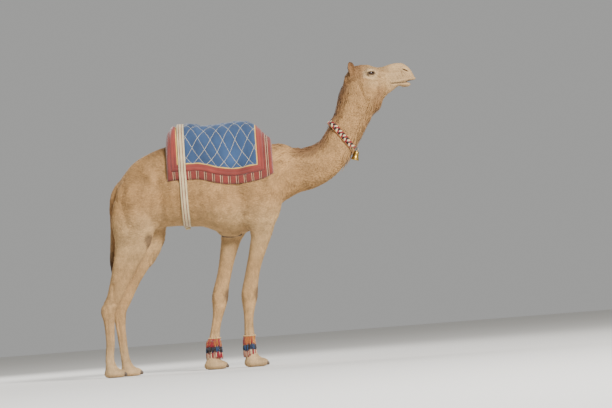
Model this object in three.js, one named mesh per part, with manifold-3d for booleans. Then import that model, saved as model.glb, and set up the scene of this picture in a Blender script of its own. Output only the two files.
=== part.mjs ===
// A life-size dromedary camel that stands still, as a museum shows one, with the
// saddle pad and quilt, girth, neck band with its bell, and two fringed anklets
// that it wears. Lengths are millimetres. The camel faces +X, +Y is its left
// side, +Z is up, and its four soles stand on z = 0. The origin is on the floor,
// under the middle of its length.
import * as THREE from "three";
import { mergeVertices } from "three/addons/utils/BufferGeometryUtils.js";
import Module from "manifold-3d";

const { clamp, lerp, smoothstep, degToRad } = THREE.MathUtils;
const X = [1, 0, 0];
const Y = [0, 1, 0];
const Z = [0, 0, 1];

// ---- driving dimensions -----------------------------------------------------
const GAP = 0.4;              // the thin cut between two neighbouring nodes
const KNEE_CUT = 655;         // forearm above, cannon below
const HOCK_CUT = 630;         // gaskin above, cannon below
const FOOT_CUT = 118;         // cannon above, foot below
const ELBOW_CUT = 1128;       // trunk above, forearm below
const GROIN_CUT = 1215;       // trunk above, gaskin below
const THIGH_FRONT_X = -800;   // the hind legs meet the trunk behind this
const FOREARM_REAR_X = -440;  // the front legs and brisket meet it before this
const NECK_BASE_X = 330;      // trunk behind, neck in front
const NECK_MID_X = 700;       // lower neck behind, upper neck in front
const EYE = { x: 1037, y: 95, z: 2402, radius: 21 };
const BRISKET = { x: -262, halfWidth: 41 };
const COLLAR = { x: 752, z: 1898, width: 56, thick: 8 };
const BELL = { crown: 20, mouth: 35, height: 76, wall: 3, lean: 18, x: 866, z: 1757 };
const PAD = { rear: -752, front: 150, lay: 2, side: 50, hem: 18, least: 14 };
const QUILT = { rear: -712, front: 75, thick: 16 };
const GIRTH = { x: -617, width: 62, thick: 4 };
const ANKLETS = {
  right: { x: -169, y: -113, halfDepth: 61, halfWidth: 60 },
  left: { x: -478, y: 112, halfDepth: 76, halfWidth: 62 },
};

// Trunk stations: x, top, bottom, half-width, narrowing towards the top.
const TRUNK = [
  [-1204, 1525, 1345, 34, 0.10], [-1192, 1600, 1240, 88, 0.12], [-1168, 1650, 1195, 142, 0.14],
  [-1120, 1712, 1170, 188, 0.16], [-1040, 1798, 1180, 218, 0.18], [-960, 1846, 1205, 232, 0.18],
  [-880, 1880, 1228, 238, 0.18], [-800, 1908, 1240, 243, 0.20], [-700, 1925, 1240, 256, 0.24],
  [-600, 1930, 1226, 266, 0.28], [-500, 1930, 1220, 272, 0.30], [-420, 1925, 1192, 270, 0.30],
  [-330, 1915, 1150, 262, 0.30], [-240, 1905, 1130, 250, 0.30], [-140, 1895, 1140, 236, 0.30],
  [-40, 1885, 1172, 222, 0.28], [50, 1872, 1215, 206, 0.25], [110, 1862, 1275, 194, 0.20],
  [170, 1855, 1350, 180, 0.14], [230, 1846, 1430, 166, 0.08], [300, 1800, 1490, 120, 0],
  [350, 1740, 1560, 50, 0]];
// Head stations: the same, with a negative last value where it is wider above.
const HEAD = [
  [838, 2425, 2350, 38, 0], [862, 2462, 2290, 66, 0], [900, 2484, 2235, 82, -0.05],
  [940, 2488, 2196, 94, -0.10], [980, 2491, 2160, 102, -0.16], [1020, 2484, 2128, 104, -0.20],
  [1060, 2466, 2118, 98, -0.22], [1100, 2456, 2140, 84, -0.18], [1140, 2458, 2192, 70, -0.12],
  [1180, 2468, 2226, 61, -0.08], [1220, 2477, 2254, 57, -0.04], [1260, 2480, 2280, 56, 0],
  [1300, 2477, 2294, 55, 0], [1335, 2458, 2302, 50, 0], [1365, 2428, 2310, 42, 0],
  [1388, 2388, 2318, 31, 0], [1402, 2352, 2326, 16, 0]];
// Neck and tail stations: x, y, z, half-depth, half-width.
const NECK = [
  [180, 0, 1618, 232, 178], [320, 0, 1634, 198, 158], [435, 0, 1642, 182, 138],
  [550, 0, 1684, 170, 122], [652, 0, 1757, 154, 112], [720, 0, 1846, 144, 105],
  [772, 0, 1938, 147, 100], [829, 0, 2030, 147, 97], [872, 0, 2115, 157, 96],
  [918, 0, 2205, 178, 98], [956, 0, 2290, 180, 96], [978, 0, 2340, 140, 90]];
const TAIL = [
  [-1150, 0, 1602, 58, 60], [-1196, 0, 1558, 46, 46], [-1230, 0, 1500, 34, 34],
  [-1245, 0, 1430, 28, 28], [-1250, 0, 1340, 25, 25], [-1254, 0, 1240, 24, 25],
  [-1263, 0, 1140, 25, 27], [-1271, 0, 1040, 26, 31], [-1277, 0, 960, 20, 24],
  [-1279, 0, 900, 9, 10]];
// Thickness of a leg, the same on both sides: z, half-depth, half-width.
const FORE_SHAPE = [
  [70, 61, 66], [105, 50, 54], [150, 43, 44], [205, 46, 44], [250, 47, 42], [300, 42, 36],
  [370, 39, 35], [440, 42, 39], [500, 51, 46], [550, 61, 52], [600, 70, 56], [655, 68, 54],
  [720, 62, 51], [820, 60, 52], [910, 64, 58], [1010, 75, 66], [1110, 90, 76], [1210, 118, 88],
  [1330, 150, 96]];
const HIND_SHAPE = [
  [70, 53, 55], [105, 44, 43], [145, 39, 34], [200, 36, 29], [280, 37, 29], [355, 39, 31],
  [430, 43, 34], [495, 50, 38], [550, 57, 42], [592, 60, 43], [655, 62, 45], [740, 71, 50],
  [840, 85, 58], [950, 106, 69], [1060, 132, 82], [1170, 160, 94], [1290, 172, 100]];
// Distance of a leg from the midline: z, distance.
const FORE_SPREAD = [[70, 112], [300, 114], [600, 119], [1110, 128], [1330, 122]];
const HIND_SPREAD = [[70, 120], [280, 123], [740, 131], [1060, 130], [1290, 118]];
// The line of each leg from the side: z, x. The left front leg and the right
// hind leg are at the end of a stride, the other two at its beginning.
const LEGS = {
  fore_right: [[70, -152], [150, -163], [300, -163], [500, -150], [655, -128], [820, -90],
    [1010, -30], [1150, 8], [1330, 14]],
  fore_left: [[70, -490], [150, -481], [300, -461], [500, -414], [655, -384], [820, -338],
    [1010, -288], [1150, -246], [1330, -186]],
  hind_right: [[70, -1345], [150, -1354], [300, -1338], [480, -1335], [555, -1338], [655, -1286],
    [840, -1207], [1000, -1141], [1170, -1078], [1290, -1060]],
  hind_left: [[70, -1224], [150, -1238], [300, -1251], [480, -1259], [555, -1257], [655, -1211],
    [840, -1133], [1000, -1054], [1170, -980], [1290, -980]],
};
// The sole pads: centre and radii.
const FEET = {
  fore_right: { centre: [-120, -112, 34], radii: [102, 86, 46] },
  fore_left: { centre: [-470, 112, 34], radii: [102, 86, 46] },
  hind_right: { centre: [-1315, -120, 32], radii: [92, 76, 44] },
  hind_left: { centre: [-1194, 120, 32], radii: [92, 76, 44] },
};
// Lumps that melt into the trunk, head and legs over a width of `melt`. A
// positive turn, in degrees, lifts the front end.
const HUMP = { centre: [-345, 0, 1840], radii: [345, 150, 205], melt: 110 };
const MUSCLES = [
  { centre: [30, -118, 1490], radii: [165, 96, 290], turn: 8, melt: 90 },
  { centre: [-40, 118, 1490], radii: [170, 96, 290], turn: -4, melt: 90 },
  { centre: [-1068, -118, 1370], radii: [176, 100, 270], turn: -10, melt: 90 },
  { centre: [-1025, 118, 1370], radii: [190, 100, 270], turn: -6, melt: 90 },
  { centre: [BRISKET.x, 0, 1150], radii: [95, 70, 42], turn: -6, melt: 40 }];
const LOWER_LIP = { centre: [1318, 0, 2293], radii: [50, 34, 24], turn: -4, melt: 14 };
const ORBITS = [-84, 84].map(y => ({ centre: [1026, y, 2412], radii: [46, 27, 34], melt: 22 }));
const HOCKS = [
  { centre: [-1366, -128, 546], radii: [24, 26, 54], turn: 14, melt: 24 },
  { centre: [-1292, 127, 548], radii: [24, 26, 54], turn: 14, melt: 24 }];
// The finished top line of the saddle: x, z.
const TOPLINE = [
  [-752, 1962], [-728, 2032], [-700, 2066], [-680, 2090], [-655, 2084], [-610, 2088],
  [-550, 2106], [-480, 2093], [-440, 2078], [-400, 2075], [-280, 2082], [-130, 2092],
  [-80, 2089], [-40, 2080], [0, 2063], [40, 2030], [80, 1985], [120, 1944], [150, 1926]];

// ---- small vector helpers ---------------------------------------------------
const add = (p, direction, length) => p.map((v, k) => v + direction[k] * length);
const minusPoint = (p, q) => p.map((v, k) => v - q[k]);
const dot = (a, b) => a[0] * b[0] + a[1] * b[1] + a[2] * b[2];
const cross = (a, b) => [
  a[1] * b[2] - a[2] * b[1], a[2] * b[0] - a[0] * b[2], a[0] * b[1] - a[1] * b[0]];
const unit = v => v.map(c => c / Math.hypot(...v));
const lerpPoint = (p, q, share) => p.map((v, k) => lerp(v, q[k], share));
const times = (count, make) => Array.from({ length: count }, (_, k) => make(k));

// A smooth curve, without overshoot, through rows that rise in their first column.
function along(rows, column, at) {
  const last = rows.length - 1;
  if (at <= rows[0][0]) return rows[0][column];
  if (at >= rows[last][0]) return rows[last][column];
  const i = rows.findIndex(row => row[0] > at) - 1;
  const span = k => rows[k + 1][0] - rows[k][0];
  const rise = k => (rows[k + 1][column] - rows[k][column]) / span(k);
  const slope = k => {
    if (k === 0) return rise(0);
    if (k === last) return rise(last - 1);
    if (rise(k - 1) * rise(k) <= 0) return 0;
    const before = 2 * span(k) + span(k - 1);
    const after = span(k) + 2 * span(k - 1);
    return (before + after) / (before / rise(k - 1) + after / rise(k));
  };
  const t = (at - rows[i][0]) / span(i);
  const bend = span(i) * t * (1 - t) * ((1 - t) * slope(i) - t * slope(i + 1));
  return lerp(rows[i][column], rows[i + 1][column], t * t * (3 - 2 * t)) + bend;
}

// A Catmull-Rom curve through the rows, in steps of about `step`.
function resample(rows, step) {
  const points = [];
  for (let i = 0; i < rows.length - 1; i += 1) {
    const a = rows[Math.max(i - 1, 0)];
    const [b, c] = [rows[i], rows[i + 1]];
    const d = rows[Math.min(i + 2, rows.length - 1)];
    const length = Math.hypot(c[0] - b[0], c[1] - b[1], c[2] - b[2]);
    const count = Math.max(1, Math.ceil(length / step));
    for (let j = 0; j < count; j += 1) {
      const t = j / count;
      points.push(b.map((_, k) => b[k] + 0.5 * ((c[k] - a[k]) * t
        + (2 * a[k] - 5 * b[k] + 4 * c[k] - d[k]) * t ** 2
        + (3 * b[k] - a[k] - 3 * c[k] + d[k]) * t ** 3)));
    }
  }
  return [...points, rows.at(-1)];
}

// ---- the body as one smooth field -------------------------------------------
// Each shape is a function that gives about the distance from a point to its
// surface in millimetres, negative inside.
const OUTSIDE = 400;          // the distance given to points that are far off
const NEARBY = 130;           // how far from a limb its distance still matters

// A soft minimum: two shapes melt together over a width.
function melted(a, b, width) {
  const overlap = Math.max(width - Math.abs(a - b), 0);
  return Math.min(a, b) - (width ? overlap ** 2 / (4 * width) : 0);
}

function ellipsoid(u, v, w, ru, rv, rw) {
  const scaled = Math.hypot(u / ru, v / rv, w / rw) + 1e-9;
  if (scaled < 0.05) return -Math.min(ru, rv, rw) * (1 - scaled);
  return (scaled - 1) * scaled / Math.hypot(u / ru ** 2, v / rv ** 2, w / rw ** 2);
}

function lengthwise(rows) {   // the trunk or the head, from its stations along X
  const known = new Map();
  const mostKnown = 4000;
  return ([px, py, pz]) => {
    const x = clamp(px, rows[0][0], rows.at(-1)[0]);
    const row = known.get(x) ?? [1, 2, 3, 4].map(column => along(rows, column, x));
    if (known.size < mostKnown) known.set(x, row);
    const [top, bottom, halfWidth, taper] = row;
    const halfHeight = (top - bottom) / 2;
    const middle = (top + bottom) / 2;
    const width = halfWidth * (1 - taper * clamp((pz - middle) / halfHeight, -1.2, 1.2));
    return ellipsoid(py, pz - middle, px - x, width, halfHeight, Math.min(halfHeight, width));
  };
}

function lump({ centre, radii, turn = 0 }) {
  const c = Math.cos(degToRad(turn));
  const s = Math.sin(degToRad(turn));
  return ([px, py, pz]) => {
    const x = px - centre[0];
    const z = pz - centre[2];
    return ellipsoid(x * c + z * s, py - centre[1], z * c - x * s, ...radii);
  };
}

function limb(rows) {         // the neck or a leg: an ellipse swept along a curve
  const points = resample(rows, 32);
  const parts = points.slice(1).map((end, i) => {
    const start = points[i];
    const step = [end[0] - start[0], end[1] - start[1], end[2] - start[2]];
    const length = Math.hypot(...step);
    const axis = unit(step);
    const wide = unit(add(Y, axis, -axis[1]));
    const reach = Math.max(start[3], start[4], end[3], end[4]) + length + NEARBY;
    return { start, end, length, axis, wide, deep: cross(wide, axis), reach };
  });
  return p => {
    let nearest = OUTSIDE;
    for (const { start, end, length, axis, wide, deep, reach } of parts) {
      const v = [p[0] - start[0], p[1] - start[1], p[2] - start[2]];
      if (Math.max(Math.abs(v[0]), Math.abs(v[1]), Math.abs(v[2])) > reach) continue;
      const share = clamp(dot(v, axis) / length, 0, 1);
      const q = add(v, axis, -share * length);
      const halfDepth = lerp(start[3], end[3], share);
      const halfWidth = lerp(start[4], end[4], share);
      const least = Math.min(halfDepth, halfWidth);
      const offset = [dot(q, deep), dot(q, wide), dot(q, axis)];
      nearest = Math.min(nearest, ellipsoid(...offset, halfDepth, halfWidth, least));
    }
    return nearest;
  };
}

function legRows(name) {      // x, y, z, half-depth, half-width, from the foot up
  const fore = name.startsWith("fore");
  const side = name.endsWith("left") ? 1 : -1;
  return (fore ? FORE_SHAPE : HIND_SHAPE).map(([z, halfDepth, halfWidth]) => {
    const x = along(LEGS[name], 1, z);
    const y = side * along(fore ? FORE_SPREAD : HIND_SPREAD, 1, z);
    return [x, y, z, halfDepth, halfWidth];
  });
}

const BODY = [
  [lengthwise(TRUNK), 0],
  ...[HUMP, ...MUSCLES].map(one => [lump(one), one.melt]),
  [limb(NECK), 80],
  [lengthwise(HEAD), 45],
  ...[LOWER_LIP, ...ORBITS].map(one => [lump(one), one.melt]),
  ...Object.keys(LEGS).map(name => [limb(legRows(name)), 55]),
  ...Object.values(FEET).map(foot => [lump(foot), 30]),
  ...HOCKS.map(one => [lump(one), one.melt])];
const field = p => BODY.reduce((d, [shape, width]) => melted(d, shape(p), width), OUTSIDE);

// Distance from a centre to the coat along a direction, where `grown` is how
// far outside the coat the surface lies, and `most` is where the search ends.
function reachOfCoat(centre, direction, grown, most) {
  const at = length => field(add(centre, direction, length)) - grown;
  let length = 0;
  let distance = at(0);
  if (distance >= 0) return 0.5;
  while (distance < -0.3 && length < most) {
    length += Math.max(1, -distance * 0.8);
    distance = at(length);
  }
  let [inside, outside] = [Math.max(0, length - 30), length + 1];
  for (let halving = 0; halving < 22; halving += 1) {
    const middle = (inside + outside) / 2;
    if (at(middle) < 0) inside = middle;
    else outside = middle;
  }
  return Math.min(inside, most);
}

// A ring of points where the coat meets the plane of u and v around a centre.
// Each wall, [normal, distance], holds the ring back.
function section(centre, u, v, count, { grown = 0, walls = [], most = 600 } = {}) {
  return times(count, j => {
    const angle = (j + 0.5) / count * Math.PI * 2;
    const direction = [0, 1, 2].map(k => u[k] * Math.cos(angle) + v[k] * Math.sin(angle));
    let limit = most;
    for (const [normal, distance] of walls) {
      const rate = dot(direction, normal);
      if (rate > 1e-6) limit = Math.min(limit, (distance - dot(centre, normal)) / rate);
    }
    return add(centre, direction, reachOfCoat(centre, direction, grown, limit));
  });
}

// ---- closed solids from rings -----------------------------------------------
function solid(points, faces) {                 // the faces are turned to point out
  const six = faces.reduce((sum, [a, b, c]) => (
    sum + dot(points[a], cross(points[b], points[c]))), 0);
  const outwardFaces = faces.map(([a, b, c]) => (six < 0 ? [a, c, b] : [a, b, c]));
  const geometry = new THREE.BufferGeometry();
  geometry.setAttribute("position", new THREE.BufferAttribute(new Float32Array(points.flat()), 3));
  geometry.setIndex(outwardFaces.flat());
  return geometry;
}

const quad = (a, b, c, d) => [[a, b, c], [a, c, d]];
const middleOf = ring => [0, 1, 2].map(k => ring.reduce((sum, p) => sum + p[k], 0) / ring.length);

// Closed rings, one after another, with each end drawn in to a point.
function loft(rings, startTip = middleOf(rings[0]), endTip = middleOf(rings.at(-1))) {
  const count = rings[0].length;
  const last = (rings.length - 1) * count;
  const [start, end] = [rings.length * count, rings.length * count + 1];
  const faces = [];
  for (let j = 0; j < count; j += 1) {
    const next = (j + 1) % count;
    for (let base = 0; base < last; base += count) {
      faces.push(...quad(base + j, base + next, base + count + next, base + count + j));
    }
    faces.push([start, next, j], [end, last + j, last + next]);
  }
  return solid([...rings.flat(), startTip, endTip], faces);
}

// Closed sections in a closed chain, such as a collar.
function chain(sections) {
  const count = sections[0].length;
  const faces = sections.flatMap((_, i) => times(count, j => {
    const base = i * count;
    const after = (i + 1) % sections.length * count;
    const next = (j + 1) % count;
    return quad(base + j, base + next, after + next, after + j);
  }).flat());
  return solid(sections.flat(), faces);
}

// Sections that lie over the back like a saddle: an arc outside, then the arc
// inside in the other order. The inside has the same facets as the coat below.
function saddle(sections) {
  const count = sections[0].length;
  const half = count / 2;
  const faces = [];
  for (let base = 0; base < (sections.length - 1) * count; base += count) {
    for (let j = 0; j < count; j += 1) {
      const [a, b] = [base + j, base + (j + 1) % count];
      if (j < half) faces.push(...quad(a, b, b + count, a + count));
      else faces.push([a, b, a + count], [b, b + count, a + count]);
    }
  }
  const last = (sections.length - 1) * count;
  for (let j = 0; j < half - 1; j += 1) {
    faces.push(...quad(count - 1 - j, count - 2 - j, j + 1, j));
    faces.push(...quad(last + j, last + j + 1, last + count - 2 - j, last + count - 1 - j));
  }
  return solid(sections.flat(), faces);
}

// ---- cuts --------------------------------------------------------------------
const wasm = await Module();
wasm.setup();

function toManifold(geometry) {
  const bare = geometry.clone();
  bare.deleteAttribute("normal");
  bare.deleteAttribute("uv");
  const merged = mergeVertices(bare, 1e-4);
  return new wasm.Manifold(new wasm.Mesh({
    numProp: 3,
    vertProperties: new Float32Array(merged.attributes.position.array),
    triVerts: new Uint32Array(merged.index.array),
  }));
}

function cut(geometry, ...cutters) {
  const left = cutters.reduce((rest, c) => rest.subtract(toManifold(c)), toManifold(geometry));
  const mesh = left.getMesh();
  const result = new THREE.BufferGeometry();
  const positions = new Float32Array(mesh.vertProperties);
  result.setAttribute("position", new THREE.BufferAttribute(positions, 3));
  result.setIndex(new THREE.BufferAttribute(new Uint32Array(mesh.triVerts), 1));
  return result;
}

// ---- materials and the scene graph ---------------------------------------------
const finish = (color, roughness = 0.9, metalness = 0) => (
  new THREE.MeshStandardMaterial({ color, roughness, metalness }));
const COAT = finish("#b08a5e");
const DARK_COAT = finish("#7a5637");
const EYEBALL = finish("#2a1a10", 0.2);
const HORN = finish("#4a3a2c", 0.6);
const CANVAS = finish("#8c3b2e");
const QUILTED = finish("#2f4a6b");
const WEBBING = finish("#c9b48a");
const WOOL = finish("#8e2430");
const BRASS = finish("#b08d3f", 0.35, 1);

const camel = new THREE.Group();

function node(name, geometry, material) {
  const mesh = new THREE.Mesh(geometry, material);
  mesh.name = name;
  camel.add(mesh);
}

// ---- trunk: sections along X, resting on flat cuts above the legs ---------------
const TRUNK_SECTIONS = [
  -1234, -1218, -1192, -1165, -1125, -1090, -1020, -940, -860, -790, -750, -700, -648, -586,
  -520, -430, -350, -270, -190, -110, -40, 20, 75, 115, 160, 235, NECK_BASE_X - GAP];
const SIDES = 24;
const HALF = SIDES / 2;
const RIDGE = (HALF - 1) / 2;                   // a ray stands on each side of the back's ridge
const RUMP = { x: -1150, z: 1435 };             // behind this the sections centre on this height
const LEAST_CENTRE_Z = 1500;

function trunkCentre(x) {
  const middle = (along(TRUNK, 1, x) + along(TRUNK, 2, x)) / 2;
  return [x, 0, x < RUMP.x ? RUMP.z : Math.max(middle, LEAST_CENTRE_Z)];
}

function trunkRing(x, grown) {
  const walls = [];
  if (x < THIGH_FRONT_X) walls.push([[0, 0, -1], -(GROIN_CUT + GAP)]);
  if (x > FOREARM_REAR_X) walls.push([[0, 0, -1], -(ELBOW_CUT + GAP)]);
  return section(trunkCentre(x), Y, Z, SIDES, { grown, walls });
}

function trunkSolid(grown) {
  return loft(TRUNK_SECTIONS.map(x => trunkRing(x, grown)), [-1237 - grown, 0, RUMP.z - 5]);
}

node("trunk", trunkSolid(0), COAT);

// The horny pad under the breastbone, between the front legs.
{
  const walls = [[Y, BRISKET.halfWidth], [[0, -1, 0], BRISKET.halfWidth]];
  const levels = [ELBOW_CUT - GAP, 1121, 1113];
  const rings = levels.map(z => section([BRISKET.x, 0, z], X, Y, 20, { walls, most: 150 }));
  node("brisket_pad", loft(rings, undefined, [BRISKET.x, 0, 1109]), HORN);
}

// ---- neck: sections across its own curve ----------------------------------------
const spine = resample(NECK, 10).map(row => row.slice(0, 3));

// The plane across the neck at x, turned towards the one square to X by `level`.
function across(x, level = 0) {
  const i = spine.findIndex(p => p[0] >= x);
  const centre = lerpPoint(spine[i - 1], spine[i], (x - spine[i - 1][0]) / (spine[i][0] - spine[i - 1][0]));
  const ahead = spine[Math.min(i + 4, spine.length - 1)];
  const behind = spine[Math.max(i - 5, 0)];
  return planeAt(centre, lerpPoint(unit(minusPoint(ahead, behind)), X, level));
}

function planeAt(centre, direction) {
  const normal = unit(direction);
  return { centre, normal, up: [-normal[2], 0, normal[0]] };
}

const shifted = (plane, length) => ({ ...plane, centre: add(plane.centre, plane.normal, length) });
const neckRing = (plane, grown = 0) => (
  section(plane.centre, Y, plane.up, 24, { grown, most: 320 }));

const neckBase = planeAt([NECK_BASE_X, 0, 1636], X);
const neckMiddle = across(NECK_MID_X);
const collarPlane = planeAt([COLLAR.x, 0, COLLAR.z], [0.803, 0, 0.595]);
const throat = across(850);
const nape = planeAt([905, 0, 2176], [0.58, 0, 0.815]);
const poll = planeAt([940, 0, 2246], [1, 0, 1]);

const lowerPlanes = [
  neckBase, across(385, 0.6), across(445, 0.3), across(510, 0.1), across(575), across(640),
  shifted(neckMiddle, -GAP)];
node("neck_lower", loft(lowerPlanes.map(plane => neckRing(plane))), COAT);

const collarEdges = [-COLLAR.width / 2, COLLAR.width / 2].map(w => shifted(collarPlane, w));
const upperPlanes = [neckMiddle, ...collarEdges, across(812), throat, nape, shifted(poll, -GAP)];
node("neck_upper", loft(upperPlanes.map(plane => neckRing(plane))), COAT);

// ---- head: sections along X, cut off behind by the poll's plane -------------------
const HEAD_SECTIONS = [
  843, 854, 878, 910, 950, 985, 1012, 1035, 1058, 1085, 1115, 1150, 1190, 1235, 1280, 1315, 1342,
  1364, 1382, 1396, 1404];

function headSolid(grown) {
  const walls = [[poll.normal.map(v => -v), -dot(poll.centre, poll.normal)]];
  const rings = HEAD_SECTIONS.map(x => {
    const z = x > 1380 ? 2345 : lerp(2396, 2360, clamp((x - 1060) / 340, 0, 1));
    return section([x, 0, z], Y, Z, 18, { grown, walls, most: 400 });
  });
  return loft(rings, undefined, [1410 + grown, 0, 2342]);
}

// The parted lips: a slim wedge cut in from the front of the muzzle, as x, z.
function lipsWedge() {
  const outline = [[1215, 2306], [1420, 2304], [1420, 2320], [1340, 2311]];
  const width = 240;
  const shape = new THREE.Shape(outline.map(([x, z]) => new THREE.Vector2(x, z)));
  const wedge = new THREE.ExtrudeGeometry(shape, { depth: width, bevelEnabled: false });
  return wedge.rotateX(Math.PI / 2).translate(0, width / 2, 0);
}

const eyeball = (side, radius) => (
  new THREE.SphereGeometry(radius, 8, 6).translate(EYE.x, side * EYE.y, EYE.z));
const SIDE_NAMES = [["right", -1], ["left", 1]];
const sockets = SIDE_NAMES.map(([, side]) => eyeball(side, EYE.radius + GAP));
node("head", cut(headSolid(0), lipsWedge(), ...sockets), COAT);
for (const [name, side] of SIDE_NAMES) node(`eye_${name}`, eyeball(side, EYE.radius), EYEBALL);

// ---- ears: small upright leaves behind the poll -----------------------------------
// Share of the height, half-width of the leaf, half-thickness.
const EAR_LEAF = [[0, 17, 14], [0.25, 22, 14], [0.5, 27, 13], [0.75, 28, 11], [0.92, 21, 8]];
const grownHead = headSolid(GAP);
const grownNape = loft([throat, nape, poll].map(plane => neckRing(plane, GAP)));

for (const [name, side] of SIDE_NAMES) {
  const root = [876, side * 52, 2405];
  const tip = [860, side * 92, 2512];
  const facing = unit([0.9, side * -0.4, 0.05]);
  const through = cross(unit(minusPoint(tip, root)), facing);
  const rings = EAR_LEAF.map(([share, halfWidth, halfThick]) => times(10, j => {
    const angle = j / 10 * Math.PI * 2;
    const edge = add(lerpPoint(root, tip, share), facing, halfWidth * Math.cos(angle));
    return add(edge, through, halfThick * Math.sin(angle));
  }));
  node(`ear_${name}`, cut(loft(rings, undefined, tip), grownHead, grownNape), COAT);
}

// ---- legs: level sections, each leg in an upper part, a cannon and a foot ----------
const FORE_UPPER = [KNEE_CUT + GAP, 700, 760, 850, 940, 1020, 1080, ELBOW_CUT];
const FORE_CANNON = [FOOT_CUT + GAP, 150, 200, 250, 310, 390, 460, 510, 560, 600, 630, KNEE_CUT];
const HIND_UPPER = [HOCK_CUT + GAP, 690, 770, 860, 950, 1030, 1100, 1160, GROIN_CUT];
const HIND_CANNON = [FOOT_CUT + GAP, 160, 220, 320, 420, 480, 520, 555, 590, HOCK_CUT];
const FOOT_LEVELS = [0, 6, 22, 44, 70, FOOT_CUT];
const ANKLE_LEVELS = [FOOT_CUT - 3, 150, 200, 250, 310];
const FOREARM_INNER_Y = 42;   // the forearms leave room for the brisket pad
const INNER_Y = 8;            // and no leg comes nearer than this to the midline

function legCentre(name, z) {
  const rows = legRows(name);
  const i = clamp(rows.findIndex(row => row[2] > z), 1, rows.length - 1);
  const share = clamp((z - rows[i - 1][2]) / (rows[i][2] - rows[i - 1][2]), 0, 1);
  return [lerp(rows[i - 1][0], rows[i][0], share), lerp(rows[i - 1][1], rows[i][1], share), z];
}

function legSolid(name, levels, innerY, most, grown = 0) {
  const side = name.endsWith("left") ? 1 : -1;
  const walls = [[[0, -side, 0], -innerY]];
  return loft(levels.map(z => section(legCentre(name, z), X, Y, 12, { grown, walls, most })));
}

// The foot: one soft broad pad that stands flat on the ground.
function footSolid(name, grown) {
  return loft(FOOT_LEVELS.map(z => {
    const ankle = legCentre(name, Math.max(z, 70));
    const x = lerp(FEET[name].centre[0], ankle[0], clamp((z - 34) / 50, 0, 1));
    return section([x, ankle[1], z], X, Y, 14, { grown, most: 140 });
  }));
}

for (const name of Object.keys(LEGS)) {
  const fore = name.startsWith("fore");
  const upperInner = fore ? FOREARM_INNER_Y : INNER_Y;
  node(`${name}_upper`, legSolid(name, fore ? FORE_UPPER : HIND_UPPER, upperInner, 330), COAT);
  node(`${name}_cannon`, legSolid(name, fore ? FORE_CANNON : HIND_CANNON, INNER_Y, 130), COAT);
  node(`${name}_foot`, footSolid(name, 0), DARK_COAT);
  // Two short nails at the front of the toes.
  const { centre, radii } = FEET[name];
  const outer = Math.sign(centre[1]);
  for (const [place, side] of [["inner", -outer], ["outer", outer]]) {
    const nail = new THREE.SphereGeometry(1, 6, 4).scale(17, 14, 15).rotateY(0.35);
    nail.translate(centre[0] + radii[0] - 13, centre[1] + side * 27, 27);
    node(`${name}_nail_${place}`, cut(nail, footSolid(name, GAP)), HORN);
  }
}

// ---- tail: hangs close along the rump -----------------------------------------------
{
  const points = resample(TAIL, 90);
  const rings = points.map(([x, y, z, halfDepth, halfWidth], i) => {
    const before = points[Math.max(i - 1, 0)];
    const after = points[Math.min(i + 1, points.length - 1)];
    const [dx, , dz] = unit([after[0] - before[0], 0, after[2] - before[2]]);
    return times(10, j => {
      const angle = j / 10 * Math.PI * 2;
      const deep = halfDepth * Math.cos(angle);
      return [x - dz * deep, y + halfWidth * Math.sin(angle), z + dx * deep];
    });
  });
  const clearance = GAP + 0.5;
  const rumpLevels = [820, 860, 950, 1030, 1100, 1160, GROIN_CUT + 1];
  const thighs = ["hind_right", "hind_left"].map(name => (
    legSolid(name, rumpLevels, INNER_Y - 1, 330, clearance)));
  const tail = loft(rings, undefined, [TAIL.at(-1)[0], 0, 880]);
  node("tail", cut(tail, trunkSolid(clearance), ...thighs), DARK_COAT);
}

// ---- saddle pad and quilt: thick shells over the hump ---------------------------------
const coatRings = TRUNK_SECTIONS.map(x => [x, trunkRing(x, 0)]);

// The trunk's ring at any x, on the trunk's own facets.
function coatRing(x) {
  const k = Math.max(1, coatRings.findIndex(([at]) => at >= x));
  const [[x0, before], [x1, after]] = [coatRings[k - 1], coatRings[k]];
  return before.map((p, j) => lerpPoint(p, after[j], (x - x0) / (x1 - x0)));
}

// The direction out of the trunk at a point of its ring.
function outward(p) {
  const centre = trunkCentre(p[0]);
  return unit([0, p[1], p[2] - centre[2]]);
}

// A cover over the back, from ray `from` to its mirror. Its inner and outer
// heights above the coat are functions of x, of the share of the way from the
// ridge (0) to the hem (1), and of the coat's ring.
function cover(sections, from, inner, outer) {
  const rays = times(HALF - 2 * from, k => from + k);
  return saddle(sections.map(x => {
    const ring = coatRing(x);
    const point = (j, height) => {
      const share = Math.abs(j - RIDGE) / RIDGE;
      return add(ring[j], outward(ring[j]), height(x, share, ring));
    };
    return [...rays.map(j => point(j, outer)), ...rays.toReversed().map(j => point(j, inner))];
  }));
}

const underQuilt = x => x > QUILT.rear - 1 && x < QUILT.front + 1;

// The pad's ends are rounded off over a short way.
function endRounding(x) {
  const share = Math.min((x - PAD.rear + 9) / 34, (PAD.front + 14 - x) / 42, 1);
  return Math.sqrt(Math.max(share * (2 - share), 0.05));
}

// The pad fills up to the top line at the ridge and thins towards its hem.
function padHeight(x, share, ring) {
  const ridge = ring[Math.floor(RIDGE)];
  const rise = (along(TOPLINE, 1, x) - ridge[2]) / outward(ridge)[2];
  const top = Math.max(rise - (underQuilt(x) ? QUILT.thick + GAP : 0), PAD.least);
  const side = PAD.side * endRounding(x);
  const height = lerp(top, side, smoothstep(share, 0.1, 0.6));
  return lerp(height, PAD.hem, clamp((share - 0.8) / 0.2, 0, 1));
}

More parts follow.
